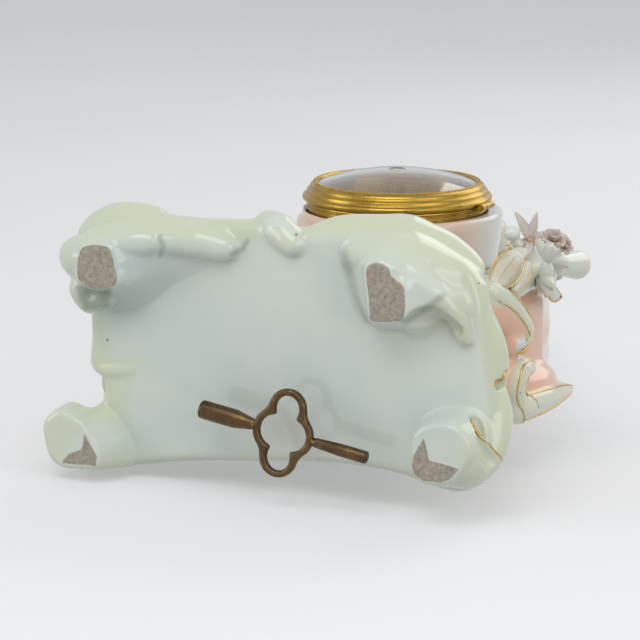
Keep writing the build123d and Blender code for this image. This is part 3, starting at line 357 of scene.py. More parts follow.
def glaze_marks(obj, paint, field=None, bisque=None):
    """Values that the porcelain material reads: paint, hollows where glaze pools and painted shade darkens them,
    and bare clay.
    """
    none = np.zeros(len(obj.data.vertices))
    hollow_pool_and_shade = none
    if field is not None:
        # Points hemmed in by the surface get a darker glaze: pooling glaze, and painted shade in the hollows.
        p = np.array([v.co for v in obj.data.vertices]) / MM
        room = field.sample(p + vertex_normals(obj) * POOL_AND_SHADE_REACH)
        hollow_pool_and_shade = np.clip((POOL_AND_SHADE_START - room) / POOL_AND_SHADE_FADE, 0, 1)
    mark(obj, "hollow_pool_and_shade", hollow_pool_and_shade)
    mark(obj, "bisque", none if bisque is None else bisque)
    paint.put(obj)


def surface(obj):
    """Tree for finding the nearest point of an object, or the first one in sight."""
    return BVHTree.FromPolygons([v.co for v in obj.data.vertices],
                                [tuple(f.vertices) for f in obj.data.polygons])


def circle(count, turn=0.0):
    """Cosine and sine of evenly spaced angles."""
    angles = [2 * math.pi * (k + turn) / count for k in range(count)]
    return [(math.cos(a), math.sin(a)) for a in angles]


def grid_faces(rows, columns, first=0, around=False, flip=False):
    """Quads between rings of points; the last ring joins the first where they go around."""
    faces = []
    for i in range(rows if around else rows - 1):
        a, b = first + i * columns, first + (i + 1) % rows * columns
        for k in range(columns):
            q = (k + 1) % columns
            face = (a + k, a + q, b + q, b + k)
            faces.append((face[0], face[3], face[2], face[1]) if flip else face)
    return faces


def tube_mesh(lines, sides=6):
    """Vertices and faces of round strokes along lines of points with a radius each."""
    verts, faces = [], []
    for points, radii in lines:
        p = np.asarray(points, float)
        t = np.gradient(p, axis=0)
        t /= np.maximum(np.linalg.norm(t, axis=1), 1e-9)[:, None]
        n = np.cross(t[0], (0.31, 0.52, 0.79))
        first = len(verts)
        for place, way, radius in zip(p, t, radii):
            n = n - way * (n @ way)
            n /= np.linalg.norm(n)
            b = np.cross(way, n)
            verts += [place + radius * (c * n + s * b) for c, s in circle(sides)]
        faces += grid_faces(len(p), sides, first)
        faces.append(tuple(first + k for k in reversed(range(sides))))
        faces.append(tuple(first + (len(p) - 1) * sides + k for k in range(sides)))
    return verts, faces


def stroke(tree, points, width, steps=8, lift=0.12):
    """Line of points laid on a surface, thin at its ends."""
    laid = []
    for q in smooth_path(points, steps=steps)[0]:
        place, normal, _, _ = tree.find_nearest(Vector(q) * MM)
        laid.append(np.array(place + normal * (lift * MM)) / MM)
    n = len(laid)
    return laid, [width * (0.45 + 0.55 * math.sin(math.pi * (i + 0.5) / n)) for i in range(n)]


def sighted(tree, px_points):
    """Points of a surface that the photograph shows at these pixels."""
    found = []
    for px, py in px_points:
        hit = tree.ray_cast(Vector(EYE * MM), Vector(sight(px, py)))
        if hit[0] is not None:
            found.append(tuple(np.array(hit[0]) / MM))
    return found


# Base, seen from below in the photograph

LEFT_EDGE_PX, LEFT_EDGE_Z = [(104, 390), (98, 404), (87, 413)], 22
OUTLINE = closed_path([
    (-92, -34), (-91.5, -14), (-91, 2), (-92, 12), (-91.5, 16.5), (-85.5, 21),
    *(at(*q, LEFT_EDGE_Z)[:2] for q in LEFT_EDGE_PX),
    (-101, 52), (-103, 60), (-99, 65.5), (-88, 67), (-66, 63), (-40, 58), (-6, 54), (34, 50),
    (66, 51), (84, 55), (98, 56), (109, 50), (114, 40), (115, 22), (113, 6), (110, -14), (107, -32),
    (102, -44), (92, -51), (80, -57), (66, -60), (48, -58), (30, -56), (12, -57), (-4, -58.5), (-28, -57),
    (-50, -57), (-66, -57), (-82, -53), (-92, -46),
], 4)
# Flats that the feet stand on, and where each foot's flare has run out into the underside
PATCHES = {
    "foot1": [(-83, -42.6), (-77.6, -45.3), (-70.2, -45.5), (-66.6, -43), (-64.7, -34.8), (-64.2, -28.3),
              (-72.7, -25.3), (-81.2, -26.4), (-84.9, -31)],
    "foot2": [(62, -47.3), (67.3, -49.1), (72.1, -47.3), (74, -43.5), (78.8, -40.4), (80.2, -36.1),
              (79.8, -25.9), (75.6, -23.7), (64.5, -23.1), (63.1, -27.9), (62.6, -34.5), (61.6, -41.1)],
    "foot3": [(-105.3, 41), (-97.5, 34.5), (-87, 38), (-79.5, 45.5), (-75.8, 51.2), (-75.9, 58.9), (-85.1, 60.4),
              (-94.9, 61.1), (-102.4, 57.1), (-105.5, 48.8)],
    "foot4": [(85, 27.3), (89.7, 22.7), (97.3, 20.5), (104.4, 21.5), (109.2, 26.4), (110.7, 32.5), (107.9, 39.1),
              (101.4, 45.3), (92.8, 47.2), (86.1, 44.4), (84.1, 36.4)],
}
SKIRTS = {
    "foot1": [(-99, -46), (-100, -32), (-91.5, -10), (-86, -8.5), (-77.7, -10), (-64.3, -13), (-55, -18.5),
              (-44, -27), (-28, -36), (-14, -43), (-11, -49), (-24, -58), (-60, -60), (-88, -56)],
    "foot2": [(42, -50), (45, -38), (49, -25.3), (53.5, -18.5), (60, -15), (69, -15.5), (80, -19), (90, -29),
              (99, -40), (92, -54), (80, -60), (62, -62), (48, -58)],
    "foot3": [(-113, 38), (-98, 30), (-85, 33), (-74, 42), (-68, 52), (-68, 66), (-84, 70), (-100, 70),
              (-112, 62)],
    "foot4": [(80, 26), (86, 19.5), (97, 16.5), (107, 17), (115, 24), (117, 34), (112, 44), (103, 52), (90, 54),
              (80, 48), (78.5, 36)],
}
PATCHES, SKIRTS = ({name: closed_path(points) for name, points in feet.items()} for feet in (PATCHES, SKIRTS))
LEDGE = closed_path([(73, -47), (81, -43), (90, -37), (98, -29), (95, -33.5), (87, -29), (79.5, -24),
                     (74, -32)])
UNDERSIDE, TOP = 19.5, 39.0
TOP_ROUND, RIM_ROUND = 12.0, 6.0
FLARE_POWER = 0.85
DISH_DEPTH, DISH_X, DISH_Y, DISH_LONG, DISH_WIDE = 1.2, 5, 4, 4200, 900
LEDGE_LOW, LEDGE_X, LEDGE_RISE, LEDGE_SIDE = 0.5, 74, 0.38, 1.6
# Rounded mouldings and hollows: points, radii and how far they melt in
RIDGES = {
    "R2": ([(-62, -46, 16.5), (-34, -48, 16.5), (-17, -45.8, 18.5)], [5.6, 6.6, 5.8], 2.0),
    "R1": ([(-84, -38, 9), (-66, -45, 11), (-53.5, -46.6, 12.5)], [8.5, 7.5, 6.2], 1.0),
    "lobe1": ([(-93.5, -36.5, 16), (-86, -35.5, 12)], [8, 8.5], 4.0),
    "U1": ([(-92, -43, 30), (-79, -50.5, 30), (-60, -53.5, 30)], [8.5, 8.5, 5.5], 3.5),
    "K1": ([(26, -52, 30), (40, -52.2, 32), (56, -51.6, 34), (68, -51.2, 36)], [5, 8, 9.2, 10.4], 6.0),
    "K2": ([(66, -51, 36), (82, -49, 36), (97, -43, 36)], [11, 8.5, 5], 3.0),
    "K3": ([(64, -47, 28), (84, -42, 29), (102, -35, 31)], [9, 8, 3.2], 3.0),
    "A1": ([(45, -47, 19), (66, -49.5, 12), (84, -39.5, 11.5), (96, -27, 15), (101.5, -15, 18)],
           [4.5, 5.5, 5.2, 4.6, 2.6], 2.5),
    "band": ([(80, -43, 30), (95, -28, 31), (104.5, -10, 33), (108, 4, 33)], [7.5, 8, 8, 6.5], 2.5),
    "band2": ([(107, 10, 33), (109.5, 22, 30), (109.5, 32, 26), (110, 40, 20)], [6, 8, 8.2, 6], 2.5),
    "lobe4": ([(98, 34, 12), (103, 38, 14), (101, 42, 20)], [10, 10, 9], 4.0),
    "leaf": ([(-2, -56, 31), (8, -54.5, 24), (17, -49.5, 19.5)], [6, 6.2, 4.5], 2.5),
    "heel1": ([at(83, 287, 9), at(92, 299, 12), at(104, 300, 9)], [6.2, 6.0, 5.0], 2.0),
    "hook": ([(-87.5, 16.8, 24.5), (-78, 17.6, 22.5), (-66, 15.5, 21.5)], [3.4, 3.0, 1.6], 2.5),
}
HOLLOWS = [
    ([(78, -19, 3), (88, -23.5, 7), (98, -19, 13)], [3.5, 6, 3.5], 2.0),
    ([(101, 6.5, 24), (110, 6.5, 26), (117, 6.5, 34)], [1.0, 1.6, 1.6], 1.5),
    ([(107.5, 20, 15), (110.5, 27, 11.5), (113, 33, 11), (117, 39, 15)], [2.2, 2.4, 2.4, 2.8], 2.0),
]


def base_body(x, y, z):
    """Plate with a dished underside that comes down to the feet."""
    px, py = np.broadcast_arrays(x[:, :, 0], y[:, :, 0])
    edge = polygon_distance(OUTLINE, px, py)
    low = np.full(px.shape, UNDERSIDE)
    for name in PATCHES:
        out = np.maximum(polygon_distance(PATCHES[name], px, py), 0)
        room = np.maximum(-polygon_distance(SKIRTS[name], px, py), 0)
        share = np.where(room > 0, out / np.maximum(out + room, 1e-6), 1.0)
        low = soft_min(low, np.where(room > 0, UNDERSIDE * share ** FLARE_POWER, 1e3), 1.2)
    out = np.maximum(polygon_distance(LEDGE, px, py), 0)
    low = soft_min(low, LEDGE_LOW + np.maximum(px - LEDGE_X, 0) * LEDGE_RISE + out * LEDGE_SIDE, 3.0)
    dish = np.exp(-((px - DISH_X) ** 2 / DISH_LONG + (py - DISH_Y) ** 2 / DISH_WIDE))
    low = np.maximum(low - DISH_DEPTH * dish * np.clip(low / UNDERSIDE, 0, 1), 0)
    gx, gy = np.gradient(low, base_field.step)
    slope = np.sqrt(1 + gx ** 2 + gy ** 2)
    under = (low[:, :, None] - z) / slope[:, :, None]
    body = soft_max(edge[:, :, None] + 0 * z, z - TOP, TOP_ROUND)
    return soft_max(body, under, RIM_ROUND)


def foot_body(name):
    """Foot that widens upwards from its flat."""
    flare, top = FEET[name]

    def shape(x, y, z):
        px, py = np.broadcast_arrays(x[:, :, 0], y[:, :, 0])
        side = polygon_distance(PATCHES[name], px, py)[:, :, None] - flare * np.sqrt(np.clip(z, 0, 20) / 8)
        return soft_max(soft_max(side + 0.8, -z + 0 * side, 3.0), z - top + 0 * side, 2.0)
    return shape


base_field = Field((-124, -76, -4), (126, 78, 62), 1.0)
base_field.merge((-118, -70, 0), (120, 72, 45), base_body)
FEET = {"foot1": (4.0, 26), "foot2": (4.0, 26), "foot3": (1.6, 15), "foot4": (2.4, 26)}
for name, poly in PATCHES.items():
    base_field.merge((*poly.min(0), 0), (*poly.max(0), 26), foot_body(name), 3.0)
for points, radii, k in RIDGES.values():
    base_field.scroll(points, radii, k=k)
for points, radii, k in HOLLOWS:
    base_field.scroll(points, radii, k=k, cut=True)
base_field.merge((-130, -80, -10), (130, 80, 0), lambda x, y, z: z + 0 * x + 0 * y, 0.6, cut=True)
verts, quads = skin(base_field)
base = mesh_object("base_porcelain", verts, quads)
u, v = pixels(verts)
facing = np.clip(vertex_normals(base) @ TO_EYE * 5, 0, 1)
# The cool blue-grey and the dark green are colours of painted shade; cream is the enamel's own tint.
CREAM, COOL_SHADE, SHADOW_GREEN, TAN = (0.60, 0.655, 0.445), (0.46, 0.57, 0.55), (0.22, 0.26, 0.20), (0.52, 0.55, 0.38)
# Bare clay on the feet whose flats are partly glazed, in pixels
BARE_PX = {
    "foot3": [(84, 433), (97, 456), (96, 466), (61, 463), (68, 454), (82, 449)],
    "foot4": [(424, 437), (413, 456), (411, 472), (423, 481), (440, 483), (450, 479), (460, 469), (446, 465),
              (429, 460), (426, 446)],
}
FLAT_DEPTH, BARE_EDGE = 1.6, 6
bare = np.full(len(verts), 1e3)
for name, poly in PATCHES.items():
    if name in BARE_PX:
        out = polygon_distance(BARE_PX[name], u, v) / SCALE
    else:
        out = polygon_distance(poly, verts[:, 0], verts[:, 1])
    bare = np.minimum(bare, np.maximum(out, (verts[:, 2] - FLAT_DEPTH) * 2))
bisque = np.clip(0.5 - bare / BARE_EDGE, 0, 1)
# Areas and lines of colour in pixels, each with its softness or width, colour and weight. The cream areas are
# the enamel's own tint. The cool blue-grey areas are painted shade on the feet's flanks and on the underside
# near the feet, and the dark green area is painted shade on the first foot's lower facet.
TINT_AND_SHADE_AREAS = [
    ([(80, 228), (100, 212), (140, 206), (165, 208), (190, 216), (258, 216), (262, 238), (238, 240), (200, 232),
      (150, 228), (110, 230), (85, 240)], 9, CREAM, 0.8),
    ([(88, 300), (104, 300), (108, 360), (100, 368), (88, 362)], 7, CREAM, 0.6),
    ([(94, 356), (140, 358), (142, 370), (96, 372)], 6, CREAM, 0.6),
    ([(82, 374), (128, 374), (124, 432), (98, 412), (80, 404)], 12, CREAM, 0.75),
    ([(285, 214), (400, 210), (452, 230), (484, 260), (508, 330), (514, 400), (504, 462), (488, 470), (486, 440),
      (490, 400),
      (480, 340), (460, 290), (440, 264), (400, 240), (340, 240), (300, 234)], 12, CREAM, 0.7),
    ([(130, 458), (420, 466), (420, 484), (130, 474)], 8, CREAM, 0.45),
    ([(110, 250), (178, 252), (162, 286), (128, 314), (98, 316)], 14, COOL_SHADE, 0.55),
    ([(74, 285), (111, 287), (110, 308), (84, 311)], 4, SHADOW_GREEN, 0.85),
    ([(404, 322), (440, 297), (462, 300), (470, 330), (464, 346), (444, 332)], 9, TAN, 0.55),
    ([(300, 250), (345, 250), (362, 320), (330, 310)], 16, COOL_SHADE, 0.35),
    ([(395, 400), (470, 380), (470, 425), (420, 440)], 18, COOL_SHADE, 0.3),
    ([(135, 400), (230, 390), (240, 460), (140, 455)], 30, COOL_SHADE, 0.28),
]
# Painted shade along two creases, and painted shadows under the ends of two ridges.
SHADE_LINES = [
    ([(343, 251), (350, 276), (358, 305), (367, 320)], 5, SHADOW_GREEN, 0.5),
    ([(405, 322), (424, 310), (442, 296)], 4, SHADOW_GREEN, 0.6),
    ([(160, 237), (163, 247), (160, 256)], 3, SHADOW_GREEN, 0.55),
    ([(232, 254), (243, 249), (247, 241)], 3, SHADOW_GREEN, 0.6),
]
paint = Paint(len(verts))
edge = polygon_distance(OUTLINE, verts[:, 0], verts[:, 1])
on_underside = facing * (np.abs(verts[:, 2] - UNDERSIDE) < 2.5)
paint.lay(0.55 * fade(-edge, 2, 16) * (1 - on_underside), CREAM)
for poly, soft, colour, weight in TINT_AND_SHADE_AREAS:
    paint.lay(weight * facing * fade(polygon_distance(poly, u, v), -soft, soft), colour)
on_picture = np.column_stack([u, v, 0 * u])
for line, width, colour, weight in SHADE_LINES:
    near = chain_distance(on_picture, [(*q, 0) for q in line])
    paint.lay(weight * facing * fade(near, 0, width * 1.6), colour)
glaze_marks(base, paint, base_field, bisque)
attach(base, "clock")
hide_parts("base", "front_left_foot", "front_right_foot", "rear_left_foot", "rear_right_foot")

# Pedestal under the drum: half width, front and back at each height

SECTIONS = np.array([
    (28, 97, -36, 43), (39, 95, -34, 42), (62, 87, -24, 38), (105, 84, -18, 37),
    (142, 89, -18, 38), (166, 83, -15, 36), (184, 56, -10, 33), (196, 36, -4, 27),
], float)
CORNER = 13.0
DRUM_LO, DRUM_HI = (-51, -70, 117), (51, 70, 219)


def pedestal_body(x, y, z):
    half, y0, y1 = [np.interp(z, SECTIONS[:, 0], SECTIONS[:, i]) for i in (1, 2, 3)]
    qx = np.abs(x) - (half - CORNER)
    qy = np.abs(y - (y0 + y1) / 2) - ((y1 - y0) / 2 - CORNER)
    outside = np.sqrt(np.maximum(qx, 0) ** 2 + np.maximum(qy, 0) ** 2)
    d = outside + np.minimum(np.maximum(qx, qy), 0) - CORNER
    return soft_max(soft_max(d, z - 186, 8), 36 - z, 4)


def clear_drum(field, radius):
    """Room for the drum."""
    def drum(x, y, z):
        ends = np.maximum(DRUM_LO[1] - y, y - DRUM_HI[1])
        return np.maximum(np.sqrt(x * x + (z - DIAL_Z) ** 2) - radius, ends)
    field.merge(DRUM_LO, DRUM_HI, drum, cut=True)


def clear_box(field, lo, hi, k=0.0):
    """Room for a box."""
    def box(*place):
        sides = [np.maximum(a - q, q - b) for a, q, b in zip(lo, place, hi)]
        return np.maximum(np.maximum(sides[0], sides[1]), sides[2])
    field.merge(lo, hi, box, k, cut=True)


PED_SCROLLS = [
    ([(89, -24, 78), (92.5, -16.7, 89.6), (94, -8.3, 99.8), (94.5, -1.3, 106.3), (94, 3.3, 104.5)],
     [5, 4.2, 3.6, 3.2, 2.6], 1.5),
    ([(94, 18.4, 113), (94, 16.6, 108), (93, 17.5, 100), (91.5, 24, 98), (90, 33, 104), (88, 40, 112)],
     [2.4, 3.4, 4.6, 5, 5.2, 6], 2.0),
    ([(89, 36, 104), (92, 37, 128), (94, 37.5, 147), (96, 38.5, 162)], [7.5, 6.6, 4.4, 1.4], 2.5),
    ([(50, 8, 172), (70, 8, 160), (79, 9, 148)], [10, 9.5, 6.5], 6.0),
    ([(44, -21, 113), (50, -23, 118), (58, -22, 114), (66, -22, 98), (61, -29, 74), (56, -37, 56),
      (64, -43, 45),
      (72, -42, 50)], [4, 5, 6, 7, 7.5, 7.5, 7, 4.5], 3.0),
    ([(36, -30, 54), (44, -27, 66), (40, -24, 86), (26, -22, 98), (14, -21, 96), (14, -21, 89)],
     [4.5, 4.5, 4, 3.8, 3.4, 3], 2.0),
]
SIDE_SCROLLS = PED_SCROLLS[:3] + PED_SCROLLS[4:]
SIDE_ROOTS = [
    ([(81, -19, 78), (84.5, -14.5, 89.6), (86, -8, 99.8), (86.5, -1.3, 106.3)], [7, 6.0, 5.4, 4.8], 9.0),
    ([(86, 17.5, 108), (85.5, 18, 100), (84.5, 25, 98)], [5.2, 5.6, 5], 7.0),
    ([(82.5, 30.5, 104), (85.5, 31.5, 128), (87.5, 32.5, 147)], [7.6, 6.8, 4.6], 8.0),
    ([(83, 3.6, 99), (92, 3.6, 97.8)], [5.5, 2.2], 6.0),
]
PEARL, PEARL_RADIUS = (94.5, 3.6, 97.8), 3.4
SHELL_ROOT_Z, SHELL_REACH, SHELL_FALL, SHELL_SPREAD = 46, 34, 8, 54
PED_SHELL = []
for turn in range(-SHELL_SPREAD, SHELL_SPREAD + 1, 18):
    a = math.radians(turn)
    reach = SHELL_REACH - SHELL_FALL * abs(turn) / SHELL_SPREAD
    PED_SHELL.append(([(3 * math.sin(a), -36, SHELL_ROOT_Z + 4 * math.cos(a)),
                       (0.6 * reach * math.sin(a), -31.5, SHELL_ROOT_Z + 0.6 * reach * math.cos(a)),
                       (reach * math.sin(a), -27.5, SHELL_ROOT_Z + reach * math.cos(a))], [2.4, 4.2, 4.6], 1.2))
ped = Field((-122, -72, 30), (122, 62, 206), 1.25)
ped.merge((-100, -40, 34), (100, 46, 190), pedestal_body)
for points, radii, k in SIDE_ROOTS + PED_SCROLLS:
    for side in (1, -1):
        ped.scroll([(side * x, y, z) for x, y, z in points], radii, k=k)
for points, radii, k in PED_SHELL:
    ped.scroll(points, radii, k=k)
for side in (1, -1):
    ped.ball((side * PEARL[0], *PEARL[1:]), (PEARL_RADIUS,) * 3, k=0.5)
clear_drum(ped, 50.4)
clear_box(ped, (-27, 3.5, 76), (27, 29, 200), 1.0)
clear_box(ped, (-130, -80, 20), (130, 80, 37.2))
verts, quads = skin(ped)
pedestal = mesh_object("pedestal_porcelain", verts, quads)
folded = np.column_stack([np.abs(verts[:, 0]), verts[:, 1], verts[:, 2]])
x, y, z = folded.T
SALMON, BLUSH = (0.84, 0.47, 0.31), (0.82, 0.62, 0.52)
IVORY, PEARL_GREY = (0.68, 0.71, 0.56), (0.64, 0.68, 0.72)
panel = fade(np.abs(z - 108), 40, 56) * fade(np.abs(y - 9), 24, 32) * (x > 60)
front = fade(np.abs(z - 92), 22, 44) * fade(x, 20, 40) * (y < -10)
pearl = fade(span_of(folded, PEARL), 3.6, 4.4)
scrolled = pearl
for points, radii, k in SIDE_SCROLLS:
    scrolled = np.maximum(scrolled, fade(chain_distance(folded, *smooth_path(points, radii)), 0.8, 1.9))
for points, radii, k in PED_SHELL:
    scrolled = np.maximum(scrolled, fade(path_distance(verts, points), 4, 5.5))
paint = Paint(len(verts))
for weight, colour in (
    (0.5 * fade(z, 40, 70), CREAM), (panel, SALMON), (panel * (1 - fade(z, 116, 150)) * 0.9, BLUSH),
    (front * 0.8, BLUSH), (scrolled, IVORY), (pearl, PEARL_GREY),
):
    paint.lay(weight, colour)
glaze_marks(pedestal, paint, ped)
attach(pedestal, "clock")
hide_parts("pedestal")

# Seat and seated child

SEAT_CURL = [(36, -6, 208), (41, -10, 216), (37, -13, 223), (31, -12, 219)]
SEAT_CURLS = [[(side * x, y, z) for x, y, z in SEAT_CURL] for side in (-1, 1)]
SEAT = [
    ([(-34, 8, 211), (-22, 13, 219), (-4, 16, 226), (14, 15, 225), (29, 12, 216), (37, 8, 210)],
     [9, 13, 15, 15, 12, 8], 4.0),
    ([(-28, -10, 215), (-12, -12, 220), (8, -13, 220), (26, -11, 215)], [7, 10, 10, 7], 4.0),
    ([(-24, 28, 215), (-6, 30, 221), (14, 29, 220), (26, 26, 214)], [8, 10, 10, 7], 4.0),
]
top = Field((-52, -46, 196), (52, 48, 252), 0.9)
for points, radii, k in SEAT + [(curl, [5, 4.4, 3.4, 2.4], 1.5) for curl in SEAT_CURLS]:
    top.scroll(points, radii, k=k)
clear_drum(top, 50.3)
verts, quads = skin(top)
seat = mesh_object("seat_porcelain", verts, quads)
paint = Paint(len(verts))
paint.lay(0.5 * fade(verts[:, 2], 210, 222), BLUSH)
paint.lay(0.45 * fade(np.abs(np.abs(verts[:, 0]) - 40), 3, 9), CREAM)
glaze_marks(seat, paint, top)
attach(seat, "clock")
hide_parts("seat")

# Body, shoulders, neck, legs, feet and arms
FIGURE = [
    ([(-2, 12, 250), (-3, 12.5, 264), (-4, 13, 278)], [16, 13.5, 12.6], 5.0),
    ([(-13, 14, 283), (-4, 13, 284), (6, 14, 283)], [6.5, 8, 6.5], 4.0),
    ([(-4, 13, 286), (-6, 11.5, 297)], [6.4, 5.8], 3.0),
    ([(-9, 8, 247), (-19, -15, 250), (-18.5, -23.5, 240), (-17.5, -24, 227)], [11, 8.8, 7, 5], 4.0),
    ([(6, 8, 247), (16, -14, 251), (15, -22.5, 241), (14, -23, 228)], [11, 8.8, 7, 5], 4.0),
    ([(-17.5, -23, 225), (-19, -33, 222.4)], [4.8, 3.4], 2.0),
    ([(14, -22, 226), (15.5, -32, 223.4)], [4.8, 3.4], 2.0),
    ([(-14, 14, 284), (-23, 11, 275), (-26.5, 5, 266), (-22, -4, 261), (-18, -10, 259)],
     [6.2, 5.4, 4.8, 4.2, 3.2], 3.0),
    ([(7, 14, 284), (17, 11, 276), (21, 5, 269), (16, -4, 266), (14, -10, 261)], [6.2, 5.4, 4.8, 4.2, 3.2],
     3.0),
]
fig = Field((-48, -46, 212), (44, 50, 330), 0.7)
for points, radii, k in FIGURE:
    fig.scroll(points, radii, k=k)
head = np.array((-7.0, 10.0, 308.0))
fig.ball(head, (13.8, 14.4, 15.0), k=3.0)
fig.ball((-3, 3.5, 261), (11, 9, 10.5), k=5.0)
for side in (1, -1):
    fig.ball(head + (side * 5.8, -9.2, -4.6), (5.0, 4.8, 4.8), k=4.0)
    fig.ball(head + (side * 13.6, 1, -2), (1.8, 3.0, 4.0), k=1.0)
    fig.ball(head + (side * 5.0, -15.6, 1.2), (2.8, 2.6, 1.9), k=2.0, cut=True)
    fig.ball(head + (side * 5.0, -12.0, 1.0), (2.3, 1.9, 1.7), k=0.6)
fig.ball(head + (0, -14.2, -2.6), (1.7, 2.4, 1.9), k=2.0)
fig.ball(head + (0, -11.6, -12.2), (4.2, 3.6, 3.2), k=4.0)
fig.ball(head + (0, -13.4, -7.2), (2.6, 1.6, 0.9), k=0.8)
fig.ball(head + (0, -13.2, -9.0), (2.0, 1.5, 0.9), k=0.8)
MOUTH = [(-2.6, -14.6, -8.0), (0, -15.4, -8.2), (2.6, -14.6, -8.0)]
fig.tube([tuple(head + q) for q in MOUTH], [0.35, 0.5, 0.35], k=0.5, cut=True)
# Curls spread evenly over the crown by the golden angle
CURL_COUNT, GOLDEN_ANGLE, CURL_RADIUS = 90, 2.39996, 3.5
CURLS = []
for i in range(CURL_COUNT):
    up = 1 - 2 * (i + 0.5) / CURL_COUNT
    out, spin = math.sqrt(1 - up * up), i * GOLDEN_ANGLE
    d = np.array((out * math.cos(spin), out * math.sin(spin), up))
    on_face = d[1] < -0.15 and d[2] < 0.52 + 0.2 * abs(d[0])
    if d[2] < -0.62 or on_face:
        continue
    CURLS.append(head + d * np.array((13.6, 14.2, 14.8)))
    fig.ball(CURLS[-1], (CURL_RADIUS,) * 3, k=1.0)
for foot, toes in (((-19, -33, 222.4), -1), ((15.5, -32, 223.4), 1)):
    for i in range(5):
        toe = np.array(foot) + (toes * (i - 2) * 1.45, -2.8 + 0.25 * abs(i - 1), -0.6)
        fig.ball(toe, (1.0, 1.5, 1.1), k=0.6)
for hand, lean in (((-18, -10, 259), -1), ((14, -10, 261), 1)):
    fig.ball(hand, (3.4, 3.6, 2.4), k=1.5)
    for i in range(4):
        root = np.array(hand, float) + (lean * (i - 1.5) * 1.6, -2.6, 0)
        fig.tube([tuple(root), tuple(root + (0, -3.4, -1.6))], [1.05, 0.9], k=0.6)
WINGS = []
for side, root in ((-1, (-11, 25, 281)), (1, (3, 25, 281))):
    x, y, z = root
    for i in range(6):
        a = math.radians(64 - 24 * i)
        reach = 23 - 1.6 * i
        tip = (x + side * reach * math.cos(a), y + 6 + 0.8 * i, z + reach * math.sin(a) * 0.9)
        mid = (x + side * reach * 0.5 * math.cos(a - 0.2), y + 4.5, z + reach * 0.5 * math.sin(a + 0.25))
        WINGS.append([root, mid, tip])
        fig.scroll(WINGS[-1], [2.6, 3.4, 1.8], k=0.8)
DRAPE = [
    ([(16, 20, 244), (17, 6, 256), (8, -5, 262), (-6, -7, 262), (-19, 2, 257), (-20, 18, 246)],
     [6, 6, 4.6, 4.6, 6, 6], 1.2),
    ([(-5, -8, 260), (-2, -17, 254), (-1, -21, 243), (-3, -22, 233)], [5, 5.4, 5, 3.4], 1.2),
    ([(5, -7, 260), (4, -17, 254), (4, -21, 244), (5, -22, 236)], [4, 4.6, 4.2, 2.6], 0.8),
]
for points, radii, k in DRAPE:
    fig.scroll(points, radii, k=k)
clear_drum(fig, 50.3)
verts, quads = skin(fig)
figure = mesh_object("figure_porcelain", verts, quads)
SKIN, HAIR, ROSE, INK = (0.80, 0.66, 0.56), (0.42, 0.25, 0.11), (0.72, 0.27, 0.22), (0.07, 0.05, 0.045)
SKY, HEM, FEATHER, FEATHER_TIP = (0.46, 0.58, 0.72), (0.62, 0.42, 0.14), (0.78, 0.79, 0.76), (0.62, 0.42, 0.38)
EYE_WHITE, IRIS = (0.83, 0.83, 0.80), (0.16, 0.22, 0.28)
paint = Paint(len(verts))
paint.lay(0.55, SKIN)
wing = np.min([path_distance(verts, points) - 2.4 for points in WINGS], axis=0)
feather = fade(wing, 0.2, 1.4) * (verts[:, 1] > 21)
paint.lay(feather, FEATHER)
paint.lay(feather * (1 - fade(np.abs(verts[:, 0] + 4), 20, 28)) * 0.6, FEATHER_TIP)
cloth = np.min([path_distance(verts, points) - (radii[0] + radii[1]) / 2 for points, radii, k in DRAPE], axis=0)
paint.lay(fade(cloth, 0.8, 2.0), SKY)
paint.lay(fade(np.abs(cloth - 1.3), 0.3, 0.9) * 0.8, HEM)
hair = np.min([span_of(verts, q) for q in CURLS], axis=0)
paint.lay(fade(hair, 3.6, 4.3), HAIR)
local = verts - head
across, depth, height = local.T
for side in (1, -1):
    paint.lay(0.5 * fade(span_of(local, (side * 6.4, -12.6, -3.6)), 1, 5), ROSE)
    eye = np.hypot(across - side * 5.0, height - 1.0)
    lash = np.hypot((across - side * 5.0) / 2.6, height - 2.7)
    brow = np.hypot((across - side * 5.2) / 3.2, height - 5.2)
    for weight, colour in (
        (fade(eye, 1.1, 1.7), EYE_WHITE), (fade(eye, 0.7, 1.1), IRIS),
        (fade(lash, 0.25, 0.8) * 0.8, INK), (fade(brow, 0.3, 0.9) * 0.6, HAIR),
    ):
        paint.lay((depth < -9) * weight, colour)
lips = np.hypot(across / 2.6, (height + 8.1) / 1.4)
paint.lay((depth < -11) * fade(lips, 0.6, 1.2) * 0.85, ROSE)
glaze_marks(figure, paint, fig)
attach(figure, "clock")
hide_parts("figure")

# Flower sprays on the side panels

LEAF_ROWS, LEAF_COLUMNS = 11, 9


def unit(v):
    return v / np.linalg.norm(v)


